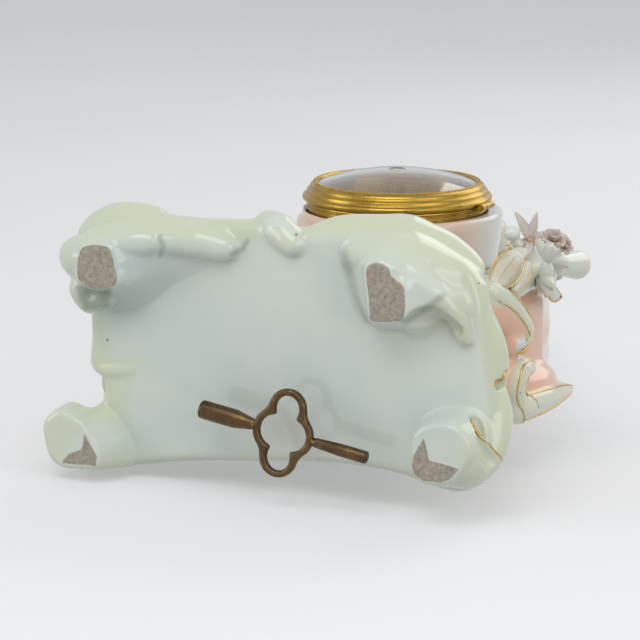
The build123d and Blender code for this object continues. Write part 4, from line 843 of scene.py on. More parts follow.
def petal(root, tip, face, width, cup=0.25, point=0.0, thick=1.0, curl=0.2, rows=9, columns=7):
    """Thin closed petal with its inner side towards face; gives vertices, quads and the way along it."""
    root, tip, face = (np.array(q, float) for q in (root, tip, face))
    length = np.linalg.norm(tip - root)
    e = (tip - root) / length
    n = unit(face - e * (face @ e))
    side = np.cross(e, n)
    upper, lower, along = [], [], []
    for t in (i / (rows - 1) for i in range(rows)):
        round_end = math.sin(math.pi * min(0.12 + 0.80 * t, 0.97)) ** 0.7
        sharp_end = math.sin(math.pi * (0.18 + 0.82 * t)) ** 0.9
        half = width / 2 * (round_end * (1 - point) + sharp_end * point) + 0.12
        for w in (2 * j / (columns - 1) - 1 for j in range(columns)):
            ruffle = 0.05 * width * t * t * math.sin(2.6 * math.pi * w)
            bend = cup * half * w * w + curl * length * t * t * (1 - 0.4 * t) + ruffle
            q = root + e * length * t + side * half * w + n * bend
            h = (thick * (1 - 0.55 * t) * (1 - 0.6 * w * w) + 0.16) / 2
            upper.append(q + n * h)
            lower.append(q - n * h)
            along.append(t)
    count = rows * columns
    quads = []
    for i, j in product(range(rows - 1), range(columns - 1)):
        a = i * columns + j
        quads.append((a, a + 1, a + columns + 1, a + columns))
        quads.append((count + a, count + a + columns, count + a + columns + 1, count + a + 1))
    rim = [j for j in range(columns)] + [i * columns + columns - 1 for i in range(1, rows)]
    rim += [(rows - 1) * columns + j for j in range(columns - 2, -1, -1)]
    rim += [i * columns for i in range(rows - 2, 0, -1)]
    quads += [(b, a, count + a, count + b) for a, b in zip(rim, rim[1:] + rim[:1])]
    return np.array(upper + lower), np.array(quads), np.array(along + along)


# Rings of a rose: petals, reach, rise and width as shares of its size
ROSE_RINGS = ((6, 1.0, 0.12, 0.82), (5, 0.74, 0.42, 0.72), (4, 0.46, 0.62, 0.56), (3, 0.2, 0.7, 0.4))
POSY_SIZE = 8


def rose(centre, face, size):
    """Petals of an open rose, wide outside and closing towards the middle; a small one is a posy."""
    centre, face = np.array(centre), unit(np.array(face, float))
    x = unit(np.cross(face, (0.2, 0.3, 0.93)))
    y = np.cross(face, x)
    kind, rings = ("rose", ROSE_RINGS) if size > POSY_SIZE else ("posy", ROSE_RINGS[::2])
    made = []
    for ring, (count, out, rise, wide) in enumerate(rings):
        for k in range(count):
            a = 2 * math.pi * (k + 0.37 * ring) / count + 0.11 * ((k * 7) % 3)
            d = math.cos(a) * x + math.sin(a) * y
            root = centre + d * size * 0.1 * (4 - ring) / 4 - face * size * 0.12
            tip = centre + d * size * out + face * size * rise
            form = petal(root, tip, face - d * 0.7, size * wide, cup=0.5, thick=1.1, curl=0.1)
            made.append((form, kind, ring))
    return made


def star(centre, tips, face):
    """Long pointed petals, one to each tip."""
    made = []
    for k, tip in enumerate(tips):
        width = 0.30 * np.linalg.norm(np.array(tip, float) - np.array(centre))
        made.append((petal(centre, tip, face, width, cup=0.45, point=1.0, thick=1.9, curl=-0.06), "star", k))
    return made


def leaf(root, tip, face, width, number):
    form = petal(root, tip, face, width, cup=-0.35, point=0.85, thick=1.4, curl=-0.15,
                 rows=LEAF_ROWS, columns=LEAF_COLUMNS)
    return form, "leaf", number


# Stems with radii; roses with facing and size; star's middle, tips and facing; bud's root, tip and
# radius; leaves with facing and width; both are laid out on the right, and side mirrors the left one
SPRAYS = {
    "right": {
        "side": 1, "room": ((70, -62, 60), (112, 0, 172)),
        "stems": [([(84, -20, 92), (88, -25, 112), (85, -24, 138)], [7, 8, 7]), ([(92, -26, 124),
                                                                                  (99, -27, 136)], [4.5, 4.2]),
                  ([(88, -26, 108), at(533, 266, 112), at(546, 262, 120)], [5, 4.4, 4]), ([at(540, 262, 116),
                                                                                           at(530, 243, 113)],
                                                                                           [3.4, 2.4]),
                  ([at(544, 262, 118), at(555, 245, 121)], [3.4, 2.2]), ([at(530, 266, 110), at(507, 274, 96),
                                                                          at(489, 292, 84)], [3, 2, 1.8]),
                  ([at(528, 262, 110), at(513, 236, 106)], [2.4, 1.8]), ([(86, -24, 140), (82, -24, 148)],
                                                                         [5, 4])],
        "roses": [(at(543, 262, 115), (0.25, -0.52, 0.82), 12.5), (at(541, 278, 110), (0.62, 0.1, 0.78), 9.5),
                  (at(554, 240, 120), (0.3, -0.85, -0.4), 6.6),
                  (at(564, 246, 126), (0.75, -0.5, -0.3), 4.8), ((82, -24, 149), (0.2, -0.7, 0.6), 9)],
        "star": (at(530, 241, 112), [at(516, 212, 107), at(537, 212, 113), at(546, 231, 122), at(513, 244, 105),
                                     at(527, 256, 102)], (0.3, -0.75, -0.55)),
        "bud": ((98.5, -28, 131), (101, -23, 164), 7.2),
        "leaves": [(at(519, 253, 96), at(493, 290, 80), (0.43, -0.25, -0.85), 13.5), (at(526, 250, 104),
                                                                                      at(499, 260, 92),
                                                                                      (0.3, -0.6, -0.7), 8),
                   ((96, -20, 128), (98, -11, 146), (0.9, -0.4, 0), 12), (at(528, 262, 100), at(514, 292, 90),
                                                                          (0.5, 0.0, -0.85), 9)],
        "ball": at(512, 233, 105), "knob": at(487, 293, 82),
    },
    "left": {
        "side": -1, "room": ((-116, -32, 66), (-66, 10, 168)),
        "stems": [([(84, -12, 92), (88, -14, 112), (85, -13, 138)], [7, 8, 6.5]), ([(95, -12, 132),
                                                                                    (97, -10, 152)],
                                                                                    [3.2, 4.4]),
                  ([(90, -17, 106), (91, -16, 84)], [4, 2.6]), ([(88, -14, 116), (94, -17, 121)], [4, 4])],
        "roses": [((97, -12, 112), (0.9, -0.3, -0.3), 11.5), ((88, -15, 145), (0.6, -0.5, 0.6), 9)],
        "star": ((94, -17, 122), [(104, -20, 110), (105, -19, 126), (102, -16, 140), (98, -8, 146),
                                  (96, -20, 140), (100, -21, 106)], (0.8, -0.6, 0.1)),
        "bud": ((95, -12, 134), (98, -9, 157), 6.6),
        "leaves": [((91, -16, 102), (94, -13, 79), (0.9, -0.4, 0), 13), ((90, -8, 124), (93, 0, 142),
                                                                         (0.95, -0.2, 0), 11)],
        "ball": (97, -16, 104), "knob": (92, -14, 76),
    },
}
LEAF, HEART, WHITE = (0.50, 0.57, 0.40), (0.34, 0.12, 0.06), (0.74, 0.76, 0.69)
BUD_TIP, BOSS = (0.80, 0.66, 0.60), (0.42, 0.27, 0.12)
ROSE_EDGE, LEAF_BROWN = (0.74, 0.60, 0.50), (0.46, 0.38, 0.24)
POSY_PINK, POSY_HEART = (0.56, 0.40, 0.35), (0.34, 0.18, 0.10)
POSY_EDGE, STAR_LILAC = (0.66, 0.58, 0.52), (0.50, 0.37, 0.34)


def petal_paint(along, kind, number):
    """Colours of a petal from its root to its tip; number is its ring, or the leaf's own."""
    coats = {
        "rose": [(0.8, WHITE), (0.45 * fade(along, 0.0, 0.5), LEAF),
                 (0.22 * (1 - fade(along, 0.5, 1.0)) * (0.6 + 0.13 * number), ROSE_EDGE)],
        "posy": [(0.85, POSY_PINK), (0.8 * fade(along, 0.0, 0.6), POSY_HEART),
                 (0.5 * (1 - fade(along, 0.6, 1.0)), POSY_EDGE)],
        "star": [(0.85, WHITE), (0.75 - 0.25 * along, STAR_LILAC), (0.9 * fade(along, 0.0, 0.25), HEART)],
        "leaf": [(0.75, WHITE),
                 ((0.3 if number else 0.85) * fade(np.abs(along - 0.45), 0.15, 0.5), LEAF_BROWN)],
    }
    paint = Paint(len(along))
    for weight, colour in coats[kind]:
        paint.lay(weight, colour)
    return paint


spray_pieces = []
gilt_lines = []
for name, plan in SPRAYS.items():
    side = plan["side"]

    def put(q):
        return (side * q[0], q[1], q[2])

    core = Field(*plan["room"], 0.9)
    for points, radii in plan["stems"]:
        core.scroll([put(q) for q in points], radii, k=2.0)
    core.ball(put(plan["ball"]), (4.0, 3.6, 4.0), k=0.5)
    core.ball(put(plan["knob"]), (3.6, 3.4, 3.8), k=0.5)
    root, tip, fat = plan["bud"]
    root, way = np.array(root), np.array(tip, float) - np.array(root)
    core.tube([put(root + way * 0.22), put(root + way * 0.74)], [fat * 0.72, fat * 0.98], k=0.8)
    middle, tips, star_face = plan["star"]
    core.ball(put(middle), (2.7, 2.7, 2.7), k=0.6)
    verts, quads = skin(core)
    paint = Paint(len(verts))
    tip_ring = fade(np.abs(span_of(verts, put(tip)) - 9), 2, 6)
    for weight, colour in (
        (0.6, WHITE), (0.25, LEAF), (0.6 * tip_ring * (verts[:, 2] > 142), BUD_TIP),
        (fade(span_of(verts, put(middle)), 2.9, 3.8), BOSS),
        (fade(span_of(verts, put(plan["ball"])), 5.4, 7.0) * 0.8, WHITE),
    ):
        paint.lay(weight, colour)
    made = []
    for centre, face, size in plan["roses"]:
        made += rose(put(centre), put(face), size)
    made += star(put(middle), [put(q) for q in tips], put(star_face))
    made += [leaf(*(put(q) for q in places), width, k) for k, (*places, width) in enumerate(plan["leaves"])]
    heap, faces, coats, first = [verts], [quads], [paint], len(verts)
    for (points, quads, along), kind, number in made:
        heap.append(points)
        faces.append((quads if side > 0 else quads[:, ::-1]) + first)
        coats.append(petal_paint(along, kind, number))
        first += len(points)
        if kind == "leaf":
            rows = points[:LEAF_ROWS * LEAF_COLUMNS].reshape(LEAF_ROWS, LEAF_COLUMNS, 3)
            edge_line = [*rows[:, 0], *rows[::-1, -1]]
            gilt_lines.append((edge_line, [0.4] * len(edge_line)))
    obj = mesh_object("flowers_%s_petals" % name, np.vstack(heap), np.vstack(faces))
    paint = Paint(first)
    paint.rgb, paint.a = np.vstack([c.rgb for c in coats]), np.concatenate([c.a for c in coats])
    glaze_marks(obj, paint)
    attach(obj, "clock")
    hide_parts("flowers_%s" % name)
    spray_pieces.append(obj)

# Gilding: thin strokes laid on the porcelain; those on the base are given in pixels

base_tree, ped_tree, seat_tree = surface(base), surface(pedestal), surface(seat)
BASE_STROKES = [
    ([(440, 229), (452, 232), (463, 236), (475, 241)], 0.55),
    ([(494, 385), (499, 380), (504, 374), (508, 369)], 0.75),
    ([(471, 419), (474, 427), (479, 435), (486, 441)], 0.75),
    ([(486, 441), (494, 450), (502, 460)], 0.45),
    ([(505, 446), (509, 444), (512, 448), (508, 452)], 0.5),
    ([(284, 211), (291, 213), (298, 217)], 0.5),
    ([(486, 262), (492, 278), (496, 292)], 0.45),
]
for pts, width in BASE_STROKES:
    found = sighted(base_tree, pts)
    if len(found) > 2:
        gilt_lines.append(stroke(base_tree, found, width))
for (points, radii, k), side in product(SIDE_SCROLLS, (1, -1)):
    p = np.array([(side * x, y, z) for x, y, z in points], float)
    size = np.array(radii)[:, None]
    t = np.gradient(p, axis=0)
    t /= np.linalg.norm(t, axis=1)[:, None]
    out = np.array((side, 0.0, 0.0) if abs(p[:, 0]).min() > 75 else (0.0, -1.0, 0.0))
    across = np.cross(t, out)
    across /= np.maximum(np.linalg.norm(across, axis=1), 1e-6)[:, None]
    for sign in (1, -1):
        rim = p + sign * across * size * 0.72 + out * size * 0.69
        gilt_lines.append(stroke(ped_tree, [tuple(q) for q in rim], 0.5))
ARC_POINTS = 17
for side in (1, -1):
    centre = np.array((side * 94.8, *PEARL[1:]))
    turns = np.linspace(math.radians(190), math.radians(350), ARC_POINTS)
    arc = [centre + 3.9 * (math.cos(a) * RIGHT * (side, 1, 1) + math.sin(a) * UP) for a in turns]
    widths = [0.25 + 0.75 * math.sin(math.pi * i / (ARC_POINTS - 1)) for i in range(ARC_POINTS)]
    gilt_lines.append((arc, widths))
for points, radii, k in PED_SHELL:
    end = np.array(points[-1])
    cap = [tuple(end + (dx, -4.5 + abs(dx) * 0.5, dz)) for dx, dz in ((-3.4, 1.5), (0, 4.0), (3.4, 1.5))]
    gilt_lines.append(stroke(ped_tree, cap, 0.5, steps=4))
for curl in SEAT_CURLS:
    gilt_lines.append(stroke(seat_tree, [(x, y - 4, z + 1) for x, y, z in curl], 0.55))
gilding = mesh_object("gilding_strokes", *tube_mesh(gilt_lines))
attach(gilding, "clock")

# Bezel, dial and door trim

def lathe(profile, count=128):
    """Ring about the dial's axis from a closed profile of radius and Y, or one that changes with the angle."""
    verts = []
    for c, s in circle(count):
        ring = profile(c, s) if callable(profile) else profile
        verts += [(r * c, y, DIAL_Z + r * s) for r, y in ring]
    return verts, grid_faces(count, len(ring), around=True, flip=True)


def round_ring(radius, y, size):
    return lathe([(radius + size * c, y + size * s) for c, s in circle(10)])


def joined(parts):
    verts, faces = [], []
    for v, f in parts:
        faces += [tuple(k + len(verts) for k in face) for face in f]
        verts += list(v)
    return verts, faces


def bead(centre, size, rings=5, count=8):
    """Small ball."""
    x, y, z = centre
    verts = []
    for b in (math.pi * i / rings for i in range(1, rings)):
        verts += [(x + size * math.sin(b) * c, y - size * math.cos(b), z + size * math.sin(b) * s)
                  for c, s in circle(count)]
    faces = grid_faces(rings - 1, count)
    first, last = len(verts), (rings - 2) * count
    verts += [(x, y - size, z), (x, y + size, z)]
    for k in range(count):
        q = (k + 1) % count
        faces += [(first, q, k), (first + 1, last + k, last + q)]
    return verts, faces


BEADS, BEAD_RING, BEAD_Y, BEAD_SIZE = 150, 41.0, -56.0, 0.72
BEZEL_PROFILE = [
    (46.2, -47.4), (47.0, -47.9), (47.2, -48.9), (46.8, -49.8), (46.0, -50.2), (45.2, -50.3), (45.1, -51.6),
    (44.9, -52.3), (44.3, -52.7), (43.6, -52.9), (43.5, -54.0), (43.2, -54.8), (42.6, -55.3), (41.9, -55.6),
    (41.0, -56.3), (40.2, -56.4), (39.6, -56.0), (39.6, -52.0), (44.0, -49.0), (45.0, -47.4),
]
beads = [bead((BEAD_RING * c, BEAD_Y, DIAL_Z + BEAD_RING * s), BEAD_SIZE) for c, s in circle(BEADS, 0.5)]
trim = joined(beads + [lathe(BEZEL_PROFILE), round_ring(44.9, -50.6, 0.3)])
GLASS_EDGE_Y, GLASS_RADIUS, GLASS_RISE, GLASS_RINGS, GLASS_WALL = -55.2, 39.6, 7.0, 14, 1.5
slopes = [math.cos(0.5 * math.pi * k / GLASS_RINGS) for k in range(GLASS_RINGS)]
dome = [(40.3, -1.2), (40.3, 0.0)] + [(GLASS_RADIUS * c, 0.2 + GLASS_RISE * (1 - c ** 2)) for c in slopes]
dome = [(r, GLASS_EDGE_Y - rise) for r, rise in dome + [(0.02, 0.2 + GLASS_RISE)]]
inside = [(r * 0.985, y + GLASS_WALL) for r, y in reversed(dome)]
glass_dome = mesh_object("glass_dome", *lathe(dome + inside, 144))
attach(glass_dome, "bezel_frame")
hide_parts("glass")
bezel_trim = mesh_object("bezel_beads_and_mouldings", *trim)
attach(bezel_trim, "bezel_frame")
RING_LINES = ((-46.2, 0.7), (-44.6, 0.3), (-43.2, 0.45))
ring_trim = mesh_object("dial_ring_mouldings", *joined([round_ring(44.6, y, size) for y, size in RING_LINES]))
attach(ring_trim, "clock")


def lip_profile(c, s):
    """Moulded lip of the drum, a little uneven and wider to the right."""
    out = 2.4 * c - 0.5 + 0.5 * (3 * s - 4 * s ** 3)
    return ((45.1, -37.6), (45.1, -41.2), (45.7, -42.2), (47.0, -42.6), (49.0 + out, -42.5),
            (50.0 + out, -41.9),
            (50.5 + out, -40.6), (50.6 + out * 0.9, -37.0), (50.4 + out * 0.6, -30), (50.1 + out * 0.2, -20),
            (49.6, -12), (49.6, -37.6))


drum_lip = mesh_object("drum_front_lip", *lathe(lip_profile, 160))
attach(drum_lip, "clock")
DOOR_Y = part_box("rear_door")[1][1] / MM - 0.1
DOOR_LINES = ((36.0, 0.6), (24.0, 0.45), (8.0, 0.45))
door_trim = mesh_object("back_door_mouldings", *joined([round_ring(r, DOOR_Y, size) for r, size in DOOR_LINES]))
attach(door_trim, "back_door")

ROMAN = ("XII", "I", "II", "III", "IIII", "V", "VI", "VII", "VIII", "IX", "X", "XI")
INK_Y, NUMERAL_RING, NUMERAL_SIZE = -41.5, 29.5, 8.6
TRACK_INNER, TRACK_OUTER = 35.0, 37.7
pieces = []
for k, text in enumerate(ROMAN):
    curve = bpy.data.curves.new("numeral", "FONT")
    curve.body, curve.size, curve.extrude = text, NUMERAL_SIZE, 0.04
    curve.align_x = curve.align_y = "CENTER"
    holder = bpy.data.objects.new("numeral", curve)
    scene.collection.objects.link(holder)
    bpy.context.view_layer.update()
    mesh = bpy.data.meshes.new_from_object(holder.evaluated_get(bpy.context.evaluated_depsgraph_get()))
    flat = np.array([v.co for v in mesh.vertices])
    wide, high = flat[:, 0] * (0.72 if len(text) > 2 else 0.85), flat[:, 1]
    c, s = math.cos(2 * math.pi * k / 12), math.sin(2 * math.pi * k / 12)
    x, z = wide * c + high * s, -wide * s + high * c
    placed = np.column_stack([x + NUMERAL_RING * s, INK_Y + 0.04 - flat[:, 2], z + NUMERAL_RING * c + DIAL_Z])
    pieces.append((placed.tolist(), [tuple(f.vertices) for f in mesh.polygons]))
    bpy.data.objects.remove(holder)
    bpy.data.curves.remove(curve)


def dial_point(c, s, out, aside, y=INK_Y):
    """Point of the dial at a distance out from its middle, in the direction that s and c give."""
    return (s * out + c * aside, y, c * out - s * aside + DIAL_Z)


BAR_FACES = [(0, 1, 2, 3), (7, 6, 5, 4), (0, 4, 5, 1), (1, 5, 6, 2), (2, 6, 7, 3), (3, 7, 4, 0)]
for k, (c, s) in enumerate(circle(60)):
    wide, r0 = (0.45, 35.2) if k % 5 == 0 else (0.22, 36.0)
    corners = ((r0, -wide), (r0, wide), (37.6, wide), (37.6, -wide))
    pieces.append(([dial_point(c, s, r, w, y) for y in (INK_Y, INK_Y + 0.15) for r, w in corners], BAR_FACES))
for r in (TRACK_INNER, TRACK_OUTER):
    pieces.append(lathe([(r, INK_Y), (r + 0.25, INK_Y), (r + 0.25, INK_Y + 0.2), (r, INK_Y + 0.2)]))
numerals = mesh_object("dial_numerals_and_track", *joined(pieces), smooth=False)
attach(numerals, "clock")
SWAG = ((21, -3.2), (18.2, -1.6), (17.2, 0), (18.2, 1.6), (21, 3.2))
GILT_RINGS = ((22.6, 0.35), (15.2, 0.45), (39.2, 0.4))
garland = [smooth_path([dial_point(c, s, r, w) for r, w in SWAG], [0.25, 0.4, 0.5, 0.4, 0.25])
           for c, s in circle(12, 0.5)]
garland_parts = [tube_mesh(garland)] + [round_ring(r, INK_Y + 0.05, size) for r, size in GILT_RINGS]
dial_gilt = mesh_object("dial_gilt_garland", *joined(garland_parts))
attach(dial_gilt, "clock")

# Key: open four-lobed bow and plain pipes, rolled over until one lobe touches the table

KEY_AT, KEY_TURN, KEY_TILT = np.array((18.7, 33.5, 4.4)), math.radians(9.2), math.radians(7.0)
along = np.array((math.cos(KEY_TURN), math.sin(KEY_TURN), 0))
across = np.array((-math.sin(KEY_TURN), math.cos(KEY_TURN), 0))
bow_way = across * math.cos(KEY_TILT) - np.array((0, 0, 1)) * math.sin(KEY_TILT)
bow_up = np.cross(along, bow_way)


def key_point(p):
    p = np.asarray(p, float)
    return KEY_AT + p[:, :1] * along + p[:, 1:2] * bow_way + p[:, 2:] * bow_up


LOBE_OUT, LOBE_RADIUS, WAIST_OUT, WAIST_RADIUS = 11.3, 9.2, 4.6, 10.4
BOW_WIRE, BOW_HALF = 3.3, 2.1


def bow_shape(x, y, z):
    lobes = np.hypot(x, np.abs(y) - LOBE_OUT) - LOBE_RADIUS
    waist = np.hypot(np.abs(x) - WAIST_OUT, y) - WAIST_RADIUS
    out, inner = soft_min(lobes, waist, 3.6), soft_min(lobes, waist, 2.4)
    return soft_max(soft_max(out, -inner - BOW_WIRE, 0.8), np.abs(z) - BOW_HALF, 1.8)


bow_field = Field((-18, -23, -4), (18, 23, 4), 0.5)
bow_field.merge((-16, -21, -3), (16, 21, 3), bow_shape)
verts, quads = skin(bow_field)
bow = mesh_object("key_bow_form", key_point(verts), quads)


PIPE_END, SOCKET_END = 42.0, 31.0


def key_pipe(name, side, radius, neck, taper, square):
    """Pipe that narrows to the bow, open with a square socket at its end."""
    rings = [(14.0, neck * 0.9), (15.2, neck), (15.9, neck), (16.2, neck + 0.35), (17.0, neck + 0.35),
             (15 + taper, radius - 0.12), (16 + taper, radius), (40.6, radius), (41.7, radius - 0.1),
             (PIPE_END, radius - 0.45)]
    count, verts = 48, []
    for u, r in rings:
        verts += [(side * u, r * c, r * s) for c, s in circle(count)]
    for u, (c, s) in product((PIPE_END, SOCKET_END), circle(count)):
        r = min(square / 2 / max(abs(c), abs(s)), radius - 0.7)
        verts.append((side * u, r * c, r * s))
    faces = grid_faces(len(rings) + 2, count)
    faces += [tuple(range(count)), tuple(reversed(range(len(verts) - count, len(verts))))]
    return mesh_object(name, key_point(verts), [face[::-1] for face in faces] if side > 0 else faces)


key_forms = {"key_bow": bow, "key_winding_pipe": key_pipe("key_winding_pipe_form", -1, 4.3, 2.5, 9, 4.1),
             "key_regulator_pipe": key_pipe("key_regulator_pipe_form", 1, 2.9, 1.9, 12, 2.2)}
for node, obj in key_forms.items():
    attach(obj, "key")
    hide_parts(node)

# Materials

def material(name):
    m = bpy.data.materials.new(name)
    m.use_nodes = True
    tree = m.node_tree
    return m, tree, tree.nodes["Principled BSDF"]


def feed(tree, socket, value):
    """Link a socket to another one, or set it to a number or a colour."""
    if hasattr(value, "links"):
        tree.links.new(value, socket)
    else:
        socket.default_value = value if isinstance(value, (int, float)) else (*value, 1)


def ramp(tree, source, stops):
    node = tree.nodes.new("ShaderNodeValToRGB")
    el = node.color_ramp.elements
    while len(el) < len(stops):
        el.new(0.5)
    for e, (place, colour) in zip(el, stops):
        e.position = place
        e.color = (*colour, 1)
    tree.links.new(source, node.inputs[0])
    return node.outputs[0]


def object_coords(tree):
    return tree.nodes.new("ShaderNodeTexCoord").outputs["Object"]


def noise(tree, scale, detail=3, rough=0.5):
    n = tree.nodes.new("ShaderNodeTexNoise")
    for name, value in (("Scale", scale), ("Detail", detail), ("Roughness", rough),
                        ("Vector", object_coords(tree))):
        feed(tree, n.inputs[name], value)
    return n.outputs["Fac"]


def cloud(tree, scale, dark, light, detail=3, rough=0.5, low=0.3, high=0.7):
    """Noise that goes from a dark colour, or grey, to a light one."""
    stops = [(place, colour if isinstance(colour, tuple) else (colour,) * 3)
             for place, colour in ((low, dark), (high, light))]
    return ramp(tree, noise(tree, scale, detail, rough), stops)


def mix(tree, fac, a, b):
    n = tree.nodes.new("ShaderNodeMix")
    n.data_type = "RGBA"
    for k, value in ((0, fac), (6, a), (7, b)):
        feed(tree, n.inputs[k], value)
    return n.outputs[2]


def mix_shader(tree, fac, a, b, output="Material Output"):
    """Send a mix of two shaders to the output."""
    n = tree.nodes.new("ShaderNodeMixShader")
    for socket, source in zip(n.inputs, (fac, a, b)):
        tree.links.new(source, socket)
    tree.links.new(n.outputs[0], tree.nodes[output].inputs["Surface"])


def attribute(tree, name, output="Fac"):
    n = tree.nodes.new("ShaderNodeAttribute")
    n.attribute_name = name
    return n.outputs[output]


def bump(tree, shader, height, strength, distance):
    n = tree.nodes.new("ShaderNodeBump")
    for name, value in (("Strength", strength), ("Distance", distance), ("Height", height)):
        feed(tree, n.inputs[name], value)
    tree.links.new(n.outputs[0], shader.inputs["Normal"])


def maths(tree, kind, a, b):
    n = tree.nodes.new("ShaderNodeMath")
    n.operation = kind
    n.use_clamp = True
    for socket, value in zip(n.inputs, (a, b)):
        feed(tree, socket, value)
    return n.outputs[0]


def either(tree, rays, *kinds):
    """One for rays of any of these kinds."""
    total = rays.outputs[kinds[0]]
    for kind in kinds[1:]:
        total = maths(tree, "MAXIMUM", total, rays.outputs[kind])
    return total


def span(tree, value, low, high):
    n = tree.nodes.new("ShaderNodeMapRange")
    n.interpolation_type = "SMOOTHSTEP"
    for name, end in (("From Min", low), ("From Max", high), ("Value", value)):
        feed(tree, n.inputs[name], end)
    return n.outputs["Result"]


def cells(tree, scale, feature="F1"):
    """Distance in a cell pattern from the cells' middles, or from their edges."""
    n = tree.nodes.new("ShaderNodeTexVoronoi")
    n.feature = feature
    n.inputs["Scale"].default_value = scale
    tree.links.new(object_coords(tree), n.inputs["Vector"])
    return n.outputs["Distance"]


def glaze_surface(t, s, colour, bare):
    """Glossy glaze of uneven thickness, rough and grainy where the clay is bare."""
    t.links.new(colour, s.inputs["Base Color"])
    t.links.new(mix(t, bare, cloud(t, 40, 0.09, 0.19), (0.85, 0.85, 0.85)), s.inputs["Roughness"])
    for name, value in (("Coat Weight", 0.3), ("Coat Roughness", 0.04), ("IOR", 1.5)):
        s.inputs[name].default_value = value
    grain = maths(t, "MULTIPLY", noise(t, 1400, 3, 0.7), bare)
    wave = maths(t, "MULTIPLY", noise(t, 55, 2), 0.6)
    bump(t, s, maths(t, "ADD", wave, maths(t, "MULTIPLY", grain, 0.35)), 0.16, 0.0016)


def porcelain(name):
    """Pale glaze with paint, hollows darkened by pooling glaze and painted shade, iron specks and bare clay."""
    m, t, s = material(name)
    body = cloud(t, 14, (0.565, 0.640, 0.605), (0.675, 0.725, 0.665))
    brush = cloud(t, 70, 0.78, 1.0, 4, 0.6, low=0.25)
    brushed = maths(t, "MULTIPLY", attribute(t, "paint", "Alpha"), brush)
    colour = mix(t, brushed, body, attribute(t, "paint", "Color"))
    # Hollows turn a darker green-grey: pooling glaze, and painted shade where less light reaches.
    pool_and_shade_colour = cloud(t, 30, (0.34, 0.43, 0.40), (0.48, 0.51, 0.38), 2)
    colour = mix(t, maths(t, "MULTIPLY", attribute(t, "hollow_pool_and_shade"), 0.55), colour, pool_and_shade_colour)
    specks = span(t, cells(t, 62), 0.05, 0.035)
    iron = maths(t, "MULTIPLY", specks, cloud(t, 23, 0.0, 1.0, 1, low=0.52, high=0.56))
    colour = mix(t, maths(t, "MULTIPLY", iron, 0.8), colour, (0.10, 0.075, 0.05))
    clay = ramp(t, noise(t, 420, 5, 0.75),
                [(0.30, (0.15, 0.13, 0.10)), (0.48, (0.32, 0.29, 0.24)), (0.70, (0.55, 0.52, 0.45))])
    rust = cloud(t, 45, (0.33, 0.30, 0.25), (0.46, 0.33, 0.20), 2, low=0.45, high=0.75)
    ragged = maths(t, "ADD", attribute(t, "bisque"), maths(t, "MULTIPLY", noise(t, 260), 0.16))
    bare = span(t, ragged, 0.55, 0.63)
    glaze_surface(t, s, mix(t, bare, colour, mix(t, 0.35, clay, rust)), bare)
    return m


def metal(name, dark, light, rough, scale=60, lines=None, stain=None):
    """Metal with cloudy tarnish, fine scratches and, where asked, turned lines along an axis."""
    m, t, s = material(name)
    colour = cloud(t, scale, dark, light, 4, 0.6, low=0.25)
    if stain:
        colour = mix(t, cloud(t, scale * 3, 0.0, 0.8, 5, 0.7, 0.52, 0.66), colour, stain)
    t.links.new(colour, s.inputs["Base Color"])
    s.inputs["Metallic"].default_value = 1.0
    t.links.new(cloud(t, scale * 2.3, *rough), s.inputs["Roughness"])
    height = noise(t, 900, 3, 0.6)
    if lines is not None:
        wave = t.nodes.new("ShaderNodeTexWave")
        wave.bands_direction = lines
        for key, value in (("Scale", 420), ("Distortion", 0.4), ("Vector", object_coords(t))):
            feed(t, wave.inputs[key], value)
        scratches = maths(t, "MULTIPLY", height, 0.3)
        height = maths(t, "ADD", scratches, maths(t, "MULTIPLY", wave.outputs["Fac"], 0.5))
    bump(t, s, height, 0.25, 0.0003)
    return m


glaze = porcelain("glazed_porcelain")
for obj in (base, pedestal, seat, figure, *spray_pieces):
    obj.data.materials.append(glaze)

# The drum is white on top and rose below, fading over heights in metres
drum_glaze, t, s = material("drum_glaze")
pale = cloud(t, 16, (0.56, 0.60, 0.59), (0.68, 0.69, 0.65))
rosy = cloud(t, 24, (0.70, 0.48, 0.37), (0.72, 0.55, 0.46), 4, 0.6)
axes = t.nodes.new("ShaderNodeSeparateXYZ")
t.links.new(object_coords(t), axes.inputs[0])
height = maths(t, "ADD", maths(t, "MULTIPLY", noise(t, 30), 0.012), axes.outputs["Z"])
glazed_all_over = t.nodes.new("ShaderNodeValue").outputs[0]
glazed_all_over.default_value = 0.0
glaze_surface(t, s, mix(t, span(t, height, 0.176, 0.140), pale, rosy), glazed_all_over)
drum_lip.data.materials.append(drum_glaze)

# Worn gilding lets the glaze show through
m, t, s = material("gilding")
worn = cloud(t, 160, 0.0, 1.0, 4, 0.7, 0.56, 0.64)
gold = cloud(t, 70, (0.50, 0.29, 0.08), (0.78, 0.53, 0.20))
t.links.new(mix(t, worn, gold, (0.66, 0.62, 0.46)), s.inputs["Base Color"])
t.links.new(maths(t, "SUBTRACT", 1.0, worn), s.inputs["Metallic"])
t.links.new(cloud(t, 300, 0.22, 0.42), s.inputs["Roughness"])
bump(t, s, noise(t, 500), 0.2, 0.0003)
gilding.data.materials.append(m)

gilt = metal("gilt_brass", (0.36, 0.22, 0.032), (0.50, 0.32, 0.065), (0.20, 0.32), 30, "Y", (0.26, 0.15, 0.025))
brass = metal("movement_brass", (0.56, 0.41, 0.17), (0.76, 0.59, 0.29), (0.22, 0.38), 50, "X")
steel = metal("steel", (0.30, 0.31, 0.34), (0.50, 0.51, 0.54), (0.24, 0.40), 90, "Z")
blued = metal("blued_steel", (0.05, 0.07, 0.16), (0.10, 0.13, 0.26), (0.2, 0.32), 120)
bronze = metal("key_bronze", (0.075, 0.047, 0.027), (0.15, 0.092, 0.045), (0.26, 0.42),
               stain=(0.21, 0.135, 0.055))
for obj in key_forms.values():
    obj.data.materials.append(bronze)

